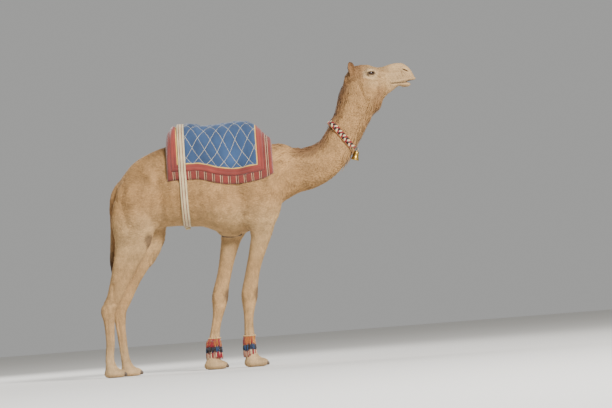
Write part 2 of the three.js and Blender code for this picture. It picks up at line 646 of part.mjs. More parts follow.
const QUILT_SECTIONS = [-700, -648, -586, -520, -430, -350, -270, -190, -110, -40, 20];
const STEP = [0.8, 1.2];      // the pad steps down this far outside the quilt's ends
const padSections = [
  PAD.rear + 2, -736, -720, QUILT.rear - STEP[1], QUILT.rear - STEP[0], ...QUILT_SECTIONS,
  QUILT.front + STEP[0], QUILT.front + STEP[1], 115, 140, PAD.front];
node("saddle_pad", cover(padSections, 0, () => PAD.lay, padHeight), CANVAS);

const quiltUnder = (...where) => padHeight(...where) + GAP;
const quiltOver = (...where) => quiltUnder(...where) + QUILT.thick;
const quiltSections = [QUILT.rear, ...QUILT_SECTIONS, QUILT.front];
node("saddle_quilt", cover(quiltSections, 1, quiltUnder, quiltOver), QUILTED);

// ---- girth: a webbing strap from hem to hem under the belly, tied below -----------------
{
  const point = (x, ray, height) => {           // a ray may fall between two of the trunk's rays
    const ring = coatRing(x);
    const k = Math.floor(ray);
    const p = lerpPoint(ring[k % SIDES], ring[(k + 1) % SIDES], ray - k);
    return add(p, outward(p), height);
  };
  const [rear, front] = [GIRTH.x - GIRTH.width / 2, GIRTH.x + GIRTH.width / 2];
  const [low, high] = [PAD.lay, PAD.lay + GIRTH.thick];
  const clear = 0.03;                           // share of a ray that is left free at each hem
  const rays = [HALF - 1 + clear, ...times(HALF, k => HALF + k), SIDES - clear];
  const rings = rays.map(ray => (
    [point(rear, ray, low), point(front, ray, low), point(front, ray, high), point(rear, ray, high)]));
  node("girth", loft(rings), WEBBING);
  const knot = new THREE.SphereGeometry(1, 10, 6).scale(24, 30, 6.5);
  const bottom = Math.min(...rings.flat().map(p => p[2]));
  node("girth_knot", knot.translate(GIRTH.x, 0, bottom - 7.4), WEBBING);
}

// ---- neck band: a closed ring around the neck, low at the throat ----------------------------
{
  const rings = collarEdges.map(plane => [plane, neckRing(plane)]);
  const point = ([plane, ring], j, height) => (
    add(ring[j], unit(minusPoint(ring[j], plane.centre)), height));
  const [low, high] = [1, 1 + COLLAR.thick];
  const sections = rings[0][1].map((_, j) => [
    point(rings[0], j, low), point(rings[1], j, low), point(rings[1], j, high), point(rings[0], j, high)]);
  node("neck_band", chain(sections), WOOL);
}

// ---- bell: an open cup of brass on a ring, leaning on the throat ------------------------------
{
  const { crown, mouth, height, wall, lean, x, z } = BELL;
  const hang = geometry => (
    geometry.rotateX(Math.PI / 2).rotateY(degToRad(lean)).translate(x, 0, z));
  // A body turned about its axis, from radius and height, listed from the top down.
  const turned = (profile, sides) => hang(new THREE.LatheGeometry(
    profile.toReversed().map(([radius, level]) => new THREE.Vector2(radius, level)), sides));
  const cup = [
    [0, 0], [crown * 0.7, -1], [crown, -7], [crown + 3, -22], [crown + 8, -height * 0.7],
    [mouth, -height], [mouth - wall, -height], [crown + 8 - wall, -height * 0.7],
    [crown + 3 - wall, -22], [crown - wall, -9], [0, -6]];
  const clapper = [[0, -6.6], [2, -6.6], [2, -50], [6, -53], [8, -58], [6, -63], [0, -65]];
  node("bell", turned(cup, 14), BRASS);
  node("bell_ring", hang(new THREE.TorusGeometry(9, 2, 5, 12).translate(0, 11.5, 0)), BRASS);
  node("bell_clapper", turned(clapper, 8), BRASS);
}

// ---- anklets: fringed woollen cuffs on both front fetlocks --------------------------------------
// Height and share of the full width.
const CUFF = [[92, 0.97], [150, 1], [268, 0.84]];
for (const [side, { x, y, halfDepth, halfWidth }] of Object.entries(ANKLETS)) {
  const leg = `fore_${side}`;
  const cuff = loft(CUFF.map(([z, share]) => times(14, j => {
    const angle = j / 14 * Math.PI * 2;
    return [x + halfDepth * share * Math.cos(angle), y + halfWidth * share * Math.sin(angle), z];
  })));
  const ankle = legSolid(leg, ANKLE_LEVELS, INNER_Y, 130, GAP);
  node(`anklet_${side}`, cut(cuff, footSolid(leg, GAP), ankle), WOOL);
}

export default camel;
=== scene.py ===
# %% [markdown]
# # A standing dromedary camel, life-size
#
# The camel is a still model, as a museum shows one. Its shape was settled in
# CAD, and this lesson gives it its looks: one skin, a coat of modelled tufts,
# eyes, nails, and the pad, quilt, girth, neck band, bell and anklets it wears.
# Lengths in the tables are millimetres. The camel faces +X, its left is +Y.

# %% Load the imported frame
import math
import bpy
import numpy as np
import openvdb
from mathutils import Matrix, Vector


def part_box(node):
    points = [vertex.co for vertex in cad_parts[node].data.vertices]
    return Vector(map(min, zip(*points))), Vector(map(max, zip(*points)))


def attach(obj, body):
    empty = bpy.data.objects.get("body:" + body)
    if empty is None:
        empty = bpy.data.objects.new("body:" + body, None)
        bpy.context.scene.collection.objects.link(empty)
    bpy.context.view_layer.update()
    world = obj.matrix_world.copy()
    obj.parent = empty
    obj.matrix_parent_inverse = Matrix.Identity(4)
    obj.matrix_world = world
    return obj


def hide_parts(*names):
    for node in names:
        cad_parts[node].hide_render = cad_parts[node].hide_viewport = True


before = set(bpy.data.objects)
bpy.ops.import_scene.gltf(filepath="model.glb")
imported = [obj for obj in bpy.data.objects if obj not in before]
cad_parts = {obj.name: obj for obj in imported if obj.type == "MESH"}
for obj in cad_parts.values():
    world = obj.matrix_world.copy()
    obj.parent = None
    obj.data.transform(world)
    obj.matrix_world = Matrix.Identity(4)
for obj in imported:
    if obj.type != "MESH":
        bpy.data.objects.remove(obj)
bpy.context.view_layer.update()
MM = 0.001
chance = np.random.default_rng(7)

# %% [markdown]
# ## The camera
# A long lens from far off keeps the four legs and the hump in true proportion.
# The camera is made first, because every later choice of detail depends on how
# large a hair or a stitch is in the picture. It is rolled a little, so that the
# level floor seems to slope as a dune does.

# %% Place the camera low, far off and slightly rolled
SENSOR = 36.0                 # millimetres, Blender's own default width
VIEW_WIDTH = 5.202            # metres across the picture, at the camel
ROLL = math.radians(4.5)
camera_place = Vector((0.3995, -25.0, 0.35))
camera_aim = Vector((0.3995, 0.0, 1.342))

ahead = (camera_aim - camera_place).normalized()
level = Vector((math.cos(ROLL), 0.0, -math.sin(ROLL)))
right = (level - ahead * level.dot(ahead)).normalized()
upward = right.cross(ahead)
camera = bpy.data.objects.new("camera", bpy.data.cameras.new("camera"))
camera.data.lens = SENSOR * (camera_aim - camera_place).length / VIEW_WIDTH
turn = Matrix((right, upward, -ahead)).transposed()
camera.matrix_world = Matrix.Translation(camera_place) @ turn.to_4x4()
bpy.context.scene.collection.objects.link(camera)
bpy.context.scene.camera = camera
print(f"lens {camera.data.lens:.1f} mm")

# %% [markdown]
# ## Small tools
# Colours are written as the sRGB hex values that a painter would pick, and one
# function turns them into the linear values that Blender reckons with. One
# more function adds any shader node with its settings and links, and the short
# ones after it name what a material often needs.

# %% Colours and shader nodes
def linear(hex_colour):
    """An sRGB hex colour as linear RGBA."""
    values = [int(hex_colour[k:k + 2], 16) / 255 for k in (1, 3, 5)]
    return tuple([v / 12.92 if v <= 0.04045 else ((v + 0.055) / 1.055) ** 2.4 for v in values] + [1.0])


def add_node(material, kind, links=None, settings=None, **values):
    """Adds a shader node: values go to its inputs, settings to its properties."""
    node = material.node_tree.nodes.new(kind)
    for name, value in (settings or {}).items():
        setattr(node, name, value)
    for name, value in values.items():
        node.inputs[int(name[1:]) if name[1:].isdigit() else name.replace("_", " ")].default_value = value
    for name, source in (links or {}).items():
        material.node_tree.links.new(source, node.inputs[name])
    return node


def new_material(name, **values):
    """A material with one Principled shader, and that shader."""
    material = bpy.data.materials.new(name)
    material.use_nodes = True
    shader = material.node_tree.nodes["Principled BSDF"]
    for key, value in values.items():
        shader.inputs[key.replace("_", " ")].default_value = value
    return material, shader


def join(material, source, target):
    material.node_tree.links.new(source, target)


def own_place(material):
    """Where a point is on its object, in metres."""
    return add_node(material, "ShaderNodeTexCoord").outputs["Object"]


def stored(material, name):
    """A node that reads what the mesh stores under a name."""
    return add_node(material, "ShaderNodeAttribute", settings={"attribute_name": name})


def reckon(material, operation, *inputs):
    """A math node whose inputs are numbers or other nodes' outputs."""
    node = add_node(material, "ShaderNodeMath", settings={"operation": operation})
    for socket, value in zip(node.inputs, inputs):
        if isinstance(value, (int, float)):
            socket.default_value = value
        else:
            join(material, value, socket)
    return node.outputs[0]


def remap(material, value, old, new):
    """Maps the span `old` of a value onto the span `new`."""
    return add_node(material, "ShaderNodeMapRange", {"Value": value}, From_Min=old[0], From_Max=old[1],
                    To_Min=new[0], To_Max=new[1]).outputs[0]


def noise(material, place, scale, detail, **values):
    """A cloudy pattern from 0 to 1."""
    return add_node(material, "ShaderNodeTexNoise", {"Vector": place}, Scale=scale, Detail=detail,
                    **values).outputs["Fac"]


def scaled(material, colour, share):
    """A colour made darker or lighter by a value."""
    return add_node(material, "ShaderNodeVectorMath", {0: colour, "Scale": share},
                    {"operation": "SCALE"}).outputs[0]


def mixed(material, share, first, second):
    """A blend of two colours, each a hex colour or a node's output."""
    node = add_node(material, "ShaderNodeMix", {0: share}, {"data_type": "RGBA"})
    for socket, colour in zip(node.inputs[6:8], (first, second)):
        if isinstance(colour, str):
            socket.default_value = linear(colour)
        else:
            join(material, colour, socket)
    return node.outputs[2]


def banded(material, value, stops, interpolation="LINEAR"):
    """A colour ramp with stops of (place, hex colour)."""
    node = add_node(material, "ShaderNodeValToRGB", {"Fac": value})
    node.color_ramp.interpolation = interpolation
    elements = node.color_ramp.elements
    while len(elements) < len(stops):
        elements.new(0.5)
    for element, (place, colour) in zip(elements, stops):
        element.position = place
        element.color = linear(colour)
    return node.outputs["Color"]


def surface(material, shader, colour, height, strength, distance):
    """Gives a shader its colour and a bump, whose distance is in metres."""
    bump = add_node(material, "ShaderNodeBump", {"Height": height}, Strength=strength, Distance=distance)
    join(material, colour, shader.inputs["Base Color"])
    join(material, bump.outputs[0], shader.inputs["Normal"])


# %% Meshes from arrays
def mesh_object(name, points, faces, material):
    """A smooth-shaded object from points in millimetres and faces of one size."""
    corners = np.ascontiguousarray(faces, np.int32)
    mesh = bpy.data.meshes.new(name)
    mesh.vertices.add(len(points))
    mesh.vertices.foreach_set("co", (np.asarray(points) * MM).astype(np.float32).ravel())
    mesh.loops.add(corners.size)
    mesh.loops.foreach_set("vertex_index", corners.ravel())
    mesh.polygons.add(len(corners))
    mesh.polygons.foreach_set("loop_start", np.arange(0, corners.size, corners.shape[1], dtype=np.int32))
    mesh.polygons.foreach_set("use_smooth", np.ones(len(corners), bool))
    mesh.update(calc_edges=True)
    mesh.materials.append(material)
    obj = bpy.data.objects.new(name, mesh)
    bpy.context.scene.collection.objects.link(obj)
    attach(obj, "root")
    return obj


def ring_quads(rings, across):
    """Quads between closed rings of points that follow one another."""
    row, k = np.meshgrid(np.arange(rings - 1), np.arange(across), indexing="ij")
    this, below, after = row * across, (row + 1) * across, (k + 1) % across
    return np.stack([this + k, below + k, below + after, this + after], -1).reshape(-1, 4)


def paint(mesh, values):
    """Stores a colour for each point, linear RGB, which skin, hair and wool read."""
    layer = mesh.attributes.new("colour", "FLOAT_COLOR", "POINT")
    layer.data.foreach_set("color", np.c_[values, np.ones(len(values))].astype(np.float32).ravel())


def ramp(value, low, high):
    """0 at `low` and 1 at `high`, with a soft start and end."""
    share = np.clip((value - low) / (high - low), 0, 1)
    return share * share * (3 - 2 * share)


def unit(vectors):
    return vectors / np.maximum(np.linalg.norm(vectors, axis=-1, keepdims=True), 1e-9)


def circle(count):
    """Angles of even steps round a circle."""
    return np.arange(count) / count * 2 * math.pi


def mirrored(points):
    """The same places, all on the left side."""
    return np.c_[points[:, 0], np.abs(points[:, 1]), points[:, 2]]


def leaned(points, angle):
    """Points turned about Y by an angle in radians, which lowers the front."""
    x, y, z = points.T
    c, s = math.cos(angle), math.sin(angle)
    return np.stack([x * c + z * s, y, z * c - x * s], -1)


# %% [markdown]
# ## The body's form
# The body is one continuous form, so it is described as a field: a function
# that says how far a point is from the surface. Stations along the trunk and
# head, swept ellipses for the neck and legs, and a few lumps of muscle melt
# into each other the way flesh does. The CAD was made from the same tables, so
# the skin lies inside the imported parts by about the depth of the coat.

# %% Stations of the trunk, head, neck and tail
# x, top, bottom, half-width, narrowing towards the top (negative: wider above).
TRUNK = [
    (-1204, 1525, 1345, 34, 0.10), (-1192, 1600, 1240, 88, 0.12), (-1168, 1650, 1195, 142, 0.14),
    (-1120, 1712, 1170, 188, 0.16), (-1040, 1798, 1180, 218, 0.18), (-960, 1846, 1205, 232, 0.18),
    (-880, 1880, 1228, 238, 0.18), (-800, 1908, 1240, 243, 0.20), (-700, 1925, 1240, 256, 0.24),
    (-600, 1930, 1226, 266, 0.28), (-500, 1930, 1220, 272, 0.30), (-420, 1925, 1192, 270, 0.30),
    (-330, 1915, 1150, 262, 0.30), (-240, 1905, 1130, 250, 0.30), (-140, 1895, 1140, 236, 0.30),
    (-40, 1885, 1172, 222, 0.28), (50, 1872, 1215, 206, 0.25), (110, 1862, 1275, 194, 0.20),
    (170, 1855, 1350, 180, 0.14), (230, 1846, 1430, 166, 0.08), (300, 1800, 1490, 120, 0),
    (350, 1740, 1560, 50, 0)]
HEAD = [
    (838, 2425, 2350, 38, 0), (862, 2462, 2290, 66, 0), (900, 2484, 2235, 82, -0.05),
    (940, 2488, 2196, 94, -0.10), (980, 2491, 2160, 102, -0.16), (1020, 2484, 2128, 104, -0.20),
    (1060, 2466, 2118, 98, -0.22), (1100, 2456, 2140, 84, -0.18), (1140, 2458, 2192, 70, -0.12),
    (1180, 2468, 2226, 61, -0.08), (1220, 2477, 2254, 57, -0.04), (1260, 2480, 2280, 56, 0),
    (1300, 2477, 2294, 55, 0), (1335, 2458, 2302, 50, 0), (1365, 2428, 2310, 42, 0),
    (1388, 2388, 2318, 31, 0), (1402, 2352, 2326, 16, 0)]
# x, y, z, half-depth, half-width.
NECK = [
    (180, 0, 1618, 232, 178), (320, 0, 1634, 198, 158), (435, 0, 1642, 182, 138),
    (550, 0, 1684, 170, 122), (652, 0, 1757, 154, 112), (720, 0, 1846, 144, 105),
    (772, 0, 1938, 147, 100), (829, 0, 2030, 147, 97), (872, 0, 2115, 157, 96),
    (918, 0, 2205, 178, 98), (956, 0, 2290, 180, 96), (978, 0, 2340, 140, 90)]
TAIL = [
    (-1150, 0, 1602, 58, 60), (-1196, 0, 1558, 46, 46), (-1230, 0, 1500, 34, 34),
    (-1245, 0, 1430, 28, 28), (-1250, 0, 1340, 25, 25), (-1254, 0, 1240, 24, 25),
    (-1263, 0, 1140, 25, 27), (-1271, 0, 1040, 26, 31), (-1277, 0, 960, 20, 24),
    (-1279, 0, 900, 9, 10)]

# %% Legs, feet and lumps
# Thickness of a leg: z, half-depth, half-width. Then its line from the side.
FORE_SHAPE = [
    (70, 61, 66), (105, 50, 54), (150, 43, 44), (205, 46, 44), (250, 47, 42), (300, 42, 36),
    (370, 39, 35), (440, 42, 39), (500, 51, 46), (550, 61, 52), (600, 70, 56), (655, 68, 54),
    (720, 62, 51), (820, 60, 52), (910, 64, 58), (1010, 75, 66), (1110, 90, 76), (1210, 118, 88),
    (1330, 150, 96)]
HIND_SHAPE = [
    (70, 53, 55), (105, 44, 43), (145, 39, 34), (200, 36, 29), (280, 37, 29), (355, 39, 31),
    (430, 43, 34), (495, 50, 38), (550, 57, 42), (592, 60, 43), (655, 62, 45), (740, 71, 50),
    (840, 85, 58), (950, 106, 69), (1060, 132, 82), (1170, 160, 94), (1290, 172, 100)]
FORE_SPREAD = [(70, 112), (300, 114), (600, 119), (1110, 128), (1330, 122)]
HIND_SPREAD = [(70, 120), (280, 123), (740, 131), (1060, 130), (1290, 118)]
LEGS = {
    "fore_right": [(70, -152), (150, -163), (300, -163), (500, -150), (655, -128), (820, -90),
                   (1010, -30), (1150, 8), (1330, 14)],
    "fore_left": [(70, -490), (150, -481), (300, -461), (500, -414), (655, -384), (820, -338),
                  (1010, -288), (1150, -246), (1330, -186)],
    "hind_right": [(70, -1345), (150, -1354), (300, -1338), (480, -1335), (555, -1338),
                   (655, -1286), (840, -1207), (1000, -1141), (1170, -1078), (1290, -1060)],
    "hind_left": [(70, -1224), (150, -1238), (300, -1251), (480, -1259), (555, -1257),
                  (655, -1211), (840, -1133), (1000, -1054), (1170, -980), (1290, -980)]}
FEET = {
    "fore_right": ((-120, -112, 34), (102, 86, 46)), "fore_left": ((-470, 112, 34), (102, 86, 46)),
    "hind_right": ((-1315, -120, 32), (92, 76, 44)), "hind_left": ((-1194, 120, 32), (92, 76, 44))}
EYE = (1037, 95, 2402)
# Centre, radii, turn in degrees (positive lifts the front), width of the melt.
BODY_LUMPS = [
    ((-345, 0, 1840), (345, 150, 205), 0, 110), ((30, -118, 1490), (165, 96, 290), 8, 90),
    ((-40, 118, 1490), (170, 96, 290), -4, 90), ((-1068, -118, 1370), (176, 100, 270), -10, 90),
    ((-1025, 118, 1370), (190, 100, 270), -6, 90), ((-262, 0, 1150), (95, 70, 42), -6, 40)]
HEAD_LUMPS = [
    ((1318, 0, 2293), (50, 34, 24), -4, 14), ((1026, -84, 2412), (46, 27, 34), 0, 22),
    ((1026, 84, 2412), (46, 27, 34), 0, 22)]
HOCK_LUMPS = [
    ((-1366, -128, 546), (24, 26, 54), 14, 24), ((-1292, 127, 548), (24, 26, 54), 14, 24)]


# %% Smooth curves through the tables
def along(rows, column, at):
    """A smooth curve, without overshoot, through rows that rise in their first column."""
    table = np.array(rows, float)
    known, values = table[:, 0], table[:, column]
    span = np.diff(known)
    rise = np.diff(values) / span
    before = 2 * span[1:] + span[:-1]
    after = span[1:] + 2 * span[:-1]
    turns = rise[:-1] * rise[1:] <= 0
    safe = np.where(turns, 1, rise[:-1]), np.where(turns, 1, rise[1:])
    inner = np.where(turns, 0, (before + after) / (before / safe[0] + after / safe[1]))
    slope = np.r_[rise[0], inner, rise[-1]]
    at = np.clip(at, known[0], known[-1])
    i = np.clip(np.searchsorted(known, at, side="right") - 1, 0, len(span) - 1)
    t = (at - known[i]) / span[i]
    bend = span[i] * t * (1 - t) * ((1 - t) * slope[i] - t * slope[i + 1])
    return values[i] + (values[i + 1] - values[i]) * t * t * (3 - 2 * t) + bend


def resample(rows, step):
    """A Catmull-Rom curve through the rows, in steps of about `step`."""
    table = np.array(rows, float)
    out = []
    for i in range(len(table) - 1):
        a, b, c, d = (table[min(max(k, 0), len(table) - 1)] for k in range(i - 1, i + 3))
        count = max(1, math.ceil(np.linalg.norm(c[:3] - b[:3]) / step))
        for t in np.arange(count) / count:
            out.append(b + 0.5 * ((c - a) * t + (2 * a - 5 * b + 4 * c - d) * t ** 2
                                  + (3 * b - a - 3 * c + d) * t ** 3))
    return np.array(out + [table[-1]])


def side_of(name):
    """1 for a leg on the left, -1 for one on the right."""
    return 1 if name.endswith("left") else -1


def leg_x(name, height):
    """Where the middle of a leg is at a height, seen from the side."""
    return float(along(LEGS[name], 1, height))


def leg_rows(name):
    """x, y, z, half-depth and half-width of a leg, from the foot up."""
    fore = name.startswith("fore")
    spread = FORE_SPREAD if fore else HIND_SPREAD
    return [(leg_x(name, z), side_of(name) * float(along(spread, 1, z)), z, deep, wide)
            for z, deep, wide in (FORE_SHAPE if fore else HIND_SHAPE)]


# %% The field: distance to the outline of the coat
OUTSIDE = 400.0               # the distance given to points that are far off
NEARBY = 130.0                # how far from a shape its distance still matters


def melted(a, b, width):
    """A soft minimum: two shapes melt together over a width."""
    overlap = np.maximum(width - np.abs(a - b), 0)
    return np.minimum(a, b) - overlap ** 2 / (4 * width)


def ellipsoid(u, v, w, ru, rv, rw):
    scaled = np.sqrt((u / ru) ** 2 + (v / rv) ** 2 + (w / rw) ** 2) + 1e-9
    steep = np.sqrt((u / ru ** 2) ** 2 + (v / rv ** 2) ** 2 + (w / rw ** 2) ** 2) + 1e-12
    least = np.minimum(np.minimum(ru, rv), rw)
    return np.where(scaled < 0.05, -least * (1 - scaled), (scaled - 1) * scaled / steep)


def lengthwise(rows):
    """The trunk or the head, from its stations along X."""
    def distance(p):
        x = np.clip(p[:, 0], rows[0][0], rows[-1][0])
        top, bottom, half_width, taper = (along(rows, column, x) for column in (1, 2, 3, 4))
        half_height = (top - bottom) / 2
        up = p[:, 2] - (top + bottom) / 2
        width = half_width * (1 - taper * np.clip(up / half_height, -1.2, 1.2))
        least = np.minimum(half_height, width)
        return ellipsoid(p[:, 1], up, p[:, 0] - x, width, half_height, least)
    table = np.array(rows, float)
    wide = table[:, 3].max() * 1.3
    low = np.array([table[0, 0] - 36, -wide, table[:, 2].min()])
    high = np.array([table[-1, 0] + 36, wide, table[:, 1].max()])
    return [(low, high, distance)]


def lump(centre, radii, turn):
    """An ellipsoid, turned by degrees that lift its front."""
    def distance(p):
        return ellipsoid(*leaned(p - centre, math.radians(turn)).T, *map(np.float64, radii))
    reach = np.array([max(radii[0], radii[2]), radii[1], max(radii[0], radii[2])])
    return [(centre - reach, centre + reach, distance)]


def limb(rows, step=32):
    """A neck, leg or tail: an ellipse swept along a curve, one piece after another."""
    def piece(start, end):
        axis = end[:3] - start[:3]
        length = np.linalg.norm(axis)
        axis = axis / length
        wide = unit(np.array([0, 1, 0]) - axis * axis[1])
        deep = np.cross(wide, axis)

        def distance(p):
            v = p - start[:3]
            share = np.clip(v @ axis / length, 0, 1)
            half_depth = start[3] + (end[3] - start[3]) * share
            half_width = start[4] + (end[4] - start[4]) * share
            q = v - np.multiply.outer(share * length, axis)
            least = np.minimum(half_depth, half_width)
            return ellipsoid(q @ deep, q @ wide, q @ axis, half_depth, half_width, least)
        reach = max(start[3], start[4], end[3], end[4])
        return np.minimum(start, end)[:3] - reach, np.maximum(start, end)[:3] + reach, distance
    points = resample(rows, step)
    return [piece(a, b) for a, b in zip(points, points[1:])]


BODY = [(lengthwise(TRUNK), 0.01)]
BODY += [(lump(centre, radii, tilt), melt) for centre, radii, tilt, melt in BODY_LUMPS]
BODY += [(limb(NECK), 80), (lengthwise(HEAD), 45)]
BODY += [(lump(centre, radii, tilt), melt) for centre, radii, tilt, melt in HEAD_LUMPS]
BODY += [(limb(leg_rows(name)), 55) for name in LEGS]
BODY += [(lump(centre, radii, 0), 30) for centre, radii in FEET.values()]
BODY += [(lump(centre, radii, tilt), melt) for centre, radii, tilt, melt in HOCK_LUMPS]
BODY += [(limb(TAIL, 28), 14)]


def near(points, low, high, margin=0.0):
    """Which points are inside a box with a margin around it."""
    inside = np.ones(len(points), bool)
    for k in range(3):
        inside &= (points[:, k] > low[k] - margin) & (points[:, k] < high[k] + margin)
    return np.flatnonzero(inside)


def outline(points):
    """Distance from each point to the outline of the coat, negative inside."""
    distance = np.full(len(points), OUTSIDE)
    for pieces, width in BODY:
        low = np.min([piece[0] for piece in pieces], axis=0)
        high = np.max([piece[1] for piece in pieces], axis=0)
        chosen = near(points, low, high, NEARBY)
        some = points[chosen]
        shape = np.full(len(some), OUTSIDE)
        for piece_low, piece_high, measure in pieces:
            close = near(some, piece_low, piece_high, NEARBY)
            if len(close):
                shape[close] = np.minimum(shape[close], measure(some[close]))
        distance[chosen] = melted(distance[chosen], shape, width)
    return distance


print(f"{len(BODY)} shapes in {sum(len(pieces) for pieces, _ in BODY)} pieces")

# %% [markdown]
# ## The skin
# A sculptor would pull one sheet of clay over the whole animal. Here the field
# does that: its zero level is meshed with OpenVDB in one watertight piece, so
# the neck, legs and head have no seams. The grid is fine at the head, where
# lids and lips are small, and coarse on the flanks. The skin lies deeper than
# the outline by the depth of the coat: a few millimetres on the face, two
# centimetres under the mane.

# %% Where a point is on the neck
neck_line = resample(NECK, 20)
neck_steps = np.gradient(neck_line[:, :3], axis=0)
neck_along = unit(neck_steps)
neck_up = np.c_[-neck_along[:, 2], np.zeros(len(neck_line)), neck_along[:, 0]]


AT_ONCE = 40000               # points measured in one go, which saves memory


def neck_place(points):
    """How far along the neck (0 base, 1 poll), and how far up from its middle (1: nape)."""
    share = np.zeros(len(points))
    height = np.zeros(len(points))
    near_neck = near(points, (250, -260, 1380), (1130, 260, 2500))
    for start in range(0, len(near_neck), AT_ONCE):
        some = near_neck[start:start + AT_ONCE]
        offsets = points[some, None, :] - neck_line[None, :, :3]
        nearest = np.argmin((offsets ** 2).sum(axis=2), axis=1)
        rows = np.arange(len(some))
        share[some] = nearest / (len(neck_line) - 1)
        above = (offsets[rows, nearest] * neck_up[nearest]).sum(axis=1)
        height[some] = above / neck_line[nearest, 3]
    return share, height


# %% Depth of the coat in each region, in millimetres
def over_jaw(x, z):
    """A height that is the same all along the jaw, which rises forwards."""
    return z - 0.25 * (x - 1000)


def coat_depth(points):
    """How far the skin lies inside the outline at each place."""
    x, y, z = points.T
    share, height = neck_place(points)
    on_neck = ramp(x, 260, 360) * (1 - ramp(z, 2330, 2400)) * (1 - ramp(x, 1030, 1110))
    depth = np.full(len(points), 7.0)
    depth += on_neck * (3 + 12 * ramp(height, 0.35, 0.85))
    depth += on_neck * 5 * ramp(-height, 0.35, 0.85) * ramp(share, 0.35, 0.55)
    depth += 10 * ramp(z, 1780, 1900) * ramp(x, 60, 180) * (1 - on_neck)
    leg = 1 - ramp(z, 880, 1160)
    depth += leg * (3.8 - depth)
    face = ramp(x, 930, 1030) * ramp(over_jaw(x, z), 2180, 2300)
    depth += face * (4 - depth)
    depth += ramp(x, 1130, 1200) * (2.2 - depth)
    ear_side = ramp(z, 2350, 2420) * (x < 1000)
    depth += ear_side * (8 - depth)
    behind_ears = np.exp(-((x - 812) ** 2 + (z - 2412) ** 2) / 28 ** 2)
    depth += 18 * behind_ears
    tail = ramp(-x, 1225, 1240) * ramp(z, 800, 860) * (np.abs(y) < 60)
    depth += tail * (9 - depth)
    return depth + (1 - ramp(z, 40, 130)) * (2.0 - depth)


# %% [markdown]
# Under the coat lie bones, tendons and folds. Each is drawn as a stroke: a line
# seen from the side, from the front or from above, with a height and a width.
# Strokes raise or press the skin only where it faces that way.

# %% Strokes: height, width, points
SIDE_STROKES = [
    # brow, lids, tear groove
    (6, 11, [(1002, 2424), (1026, 2438), (1056, 2436), (1082, 2420)]),
    (-3.5, 3.2, [(1006, 2412), (1022, 2424), (1044, 2427), (1066, 2416), (1074, 2404)]),
    (-2.6, 3.0, [(1008, 2390), (1034, 2377), (1062, 2383)]),
    (-1.8, 3.0, [(1004, 2380), (1034, 2366), (1068, 2374)]),
    (-4, 5, [(1062, 2396), (1080, 2385), (1102, 2364), (1120, 2352)]),
    # cheek bone, chewing muscle, jaw
    (6, 11, [(985, 2368), (1040, 2350), (1100, 2348), (1160, 2366)]),
    (-5, 16, [(1096, 2332), (1092, 2290), (1076, 2240), (1050, 2205)]),
    (5, 16, [(985, 2215), (1050, 2196), (1110, 2226), (1170, 2262)]),
    (-5, 14, [(930, 2330), (950, 2270), (968, 2220)]),
    # side of the nose, rims of the nostril
    (-5, 13, [(1100, 2424), (1160, 2404), (1220, 2396), (1285, 2398)]),
    (4.5, 7, [(1300, 2430), (1330, 2420), (1356, 2402)]),
    (3.5, 7, [(1308, 2406), (1334, 2398), (1352, 2388)]),
    # mouth line, lips, wrinkles of the muzzle
    (-4.5, 4.6, [(1345, 2313), (1290, 2309), (1240, 2304), (1194, 2303)]),
    (4, 10, [(1362, 2332), (1310, 2325), (1250, 2319), (1206, 2316)]),
    (3, 8, [(1340, 2296), (1290, 2290), (1240, 2288), (1204, 2290)]),
    (-2, 4, [(1196, 2318), (1184, 2303), (1190, 2288)]),
    (-1.6, 3, [(1182, 2322), (1170, 2303), (1176, 2284)]),
    (-1.6, 3, [(1290, 2388), (1302, 2362), (1306, 2338)]),
    (-1.6, 3, [(1266, 2386), (1278, 2360), (1282, 2336)]),
    (-1.4, 3, [(1240, 2382), (1252, 2356), (1256, 2332)]),
    (-1.6, 3, [(1318, 2384), (1332, 2358), (1338, 2336)]),
    # neck: jugular groove, throat folds, line of the neck bones
    (-5, 32, [(380, 1560), (545, 1612), (655, 1700), (735, 1800), (800, 1920), (850, 2040), (900, 2130)]),
    (3, 34, [(400, 1660), (540, 1690), (640, 1768), (700, 1860), (760, 1970), (820, 2090), (870, 2190)]),
    (-3, 14, [(905, 2120), (960, 2105), (1010, 2125)]),
    (-2.5, 14, [(880, 2060), (930, 2040), (975, 2060)]),
    # shoulder blade, groove behind it, elbow
    (4, 36, [(120, 1810), (90, 1690), (110, 1560), (150, 1470)]),
    (-6, 46, [(-150, 1640), (-150, 1500), (-130, 1380), (-120, 1290)]),
    (5, 36, [(-90, 1300), (-110, 1220), (-90, 1150)]),
    (-4, 34, [(180, 1600), (160, 1480), (90, 1360), (60, 1260)]),
    # flank hollow, hip bone, thigh and croup
    (-12, 62, [(-830, 1600), (-815, 1520), (-800, 1440)]),
    (8, 38, [(-925, 1730), (-890, 1690), (-870, 1640)]),
    (-5, 34, [(-1120, 1620), (-1140, 1480), (-1120, 1340), (-1090, 1230)]),
    (4, 44, [(-1060, 1600), (-1060, 1450), (-1020, 1300)]),
    (-6, 40, [(-900, 1480), (-915, 1360), (-900, 1260)]),
    (4, 30, [(-1170, 1620), (-1180, 1560)])]
RIBS = [(1.3, 19, [(x, 1620), (x - 16, 1500), (x - 4, 1380), (x + 22, 1290)]) for x in range(-760, -180, 66)]
FRONT_STROKES = [(-3.5, 6, [(0, 2396), (0, 2376), (0, 2350)]), (4, 14, [(0, 1560), (0, 1420), (0, 1240)])]
TOE_CLEFTS = [(-9, 5, [(centre[0] + 30, centre[1]), (centre[0] + 108, centre[1])])
              for centre, _ in FEET.values()]


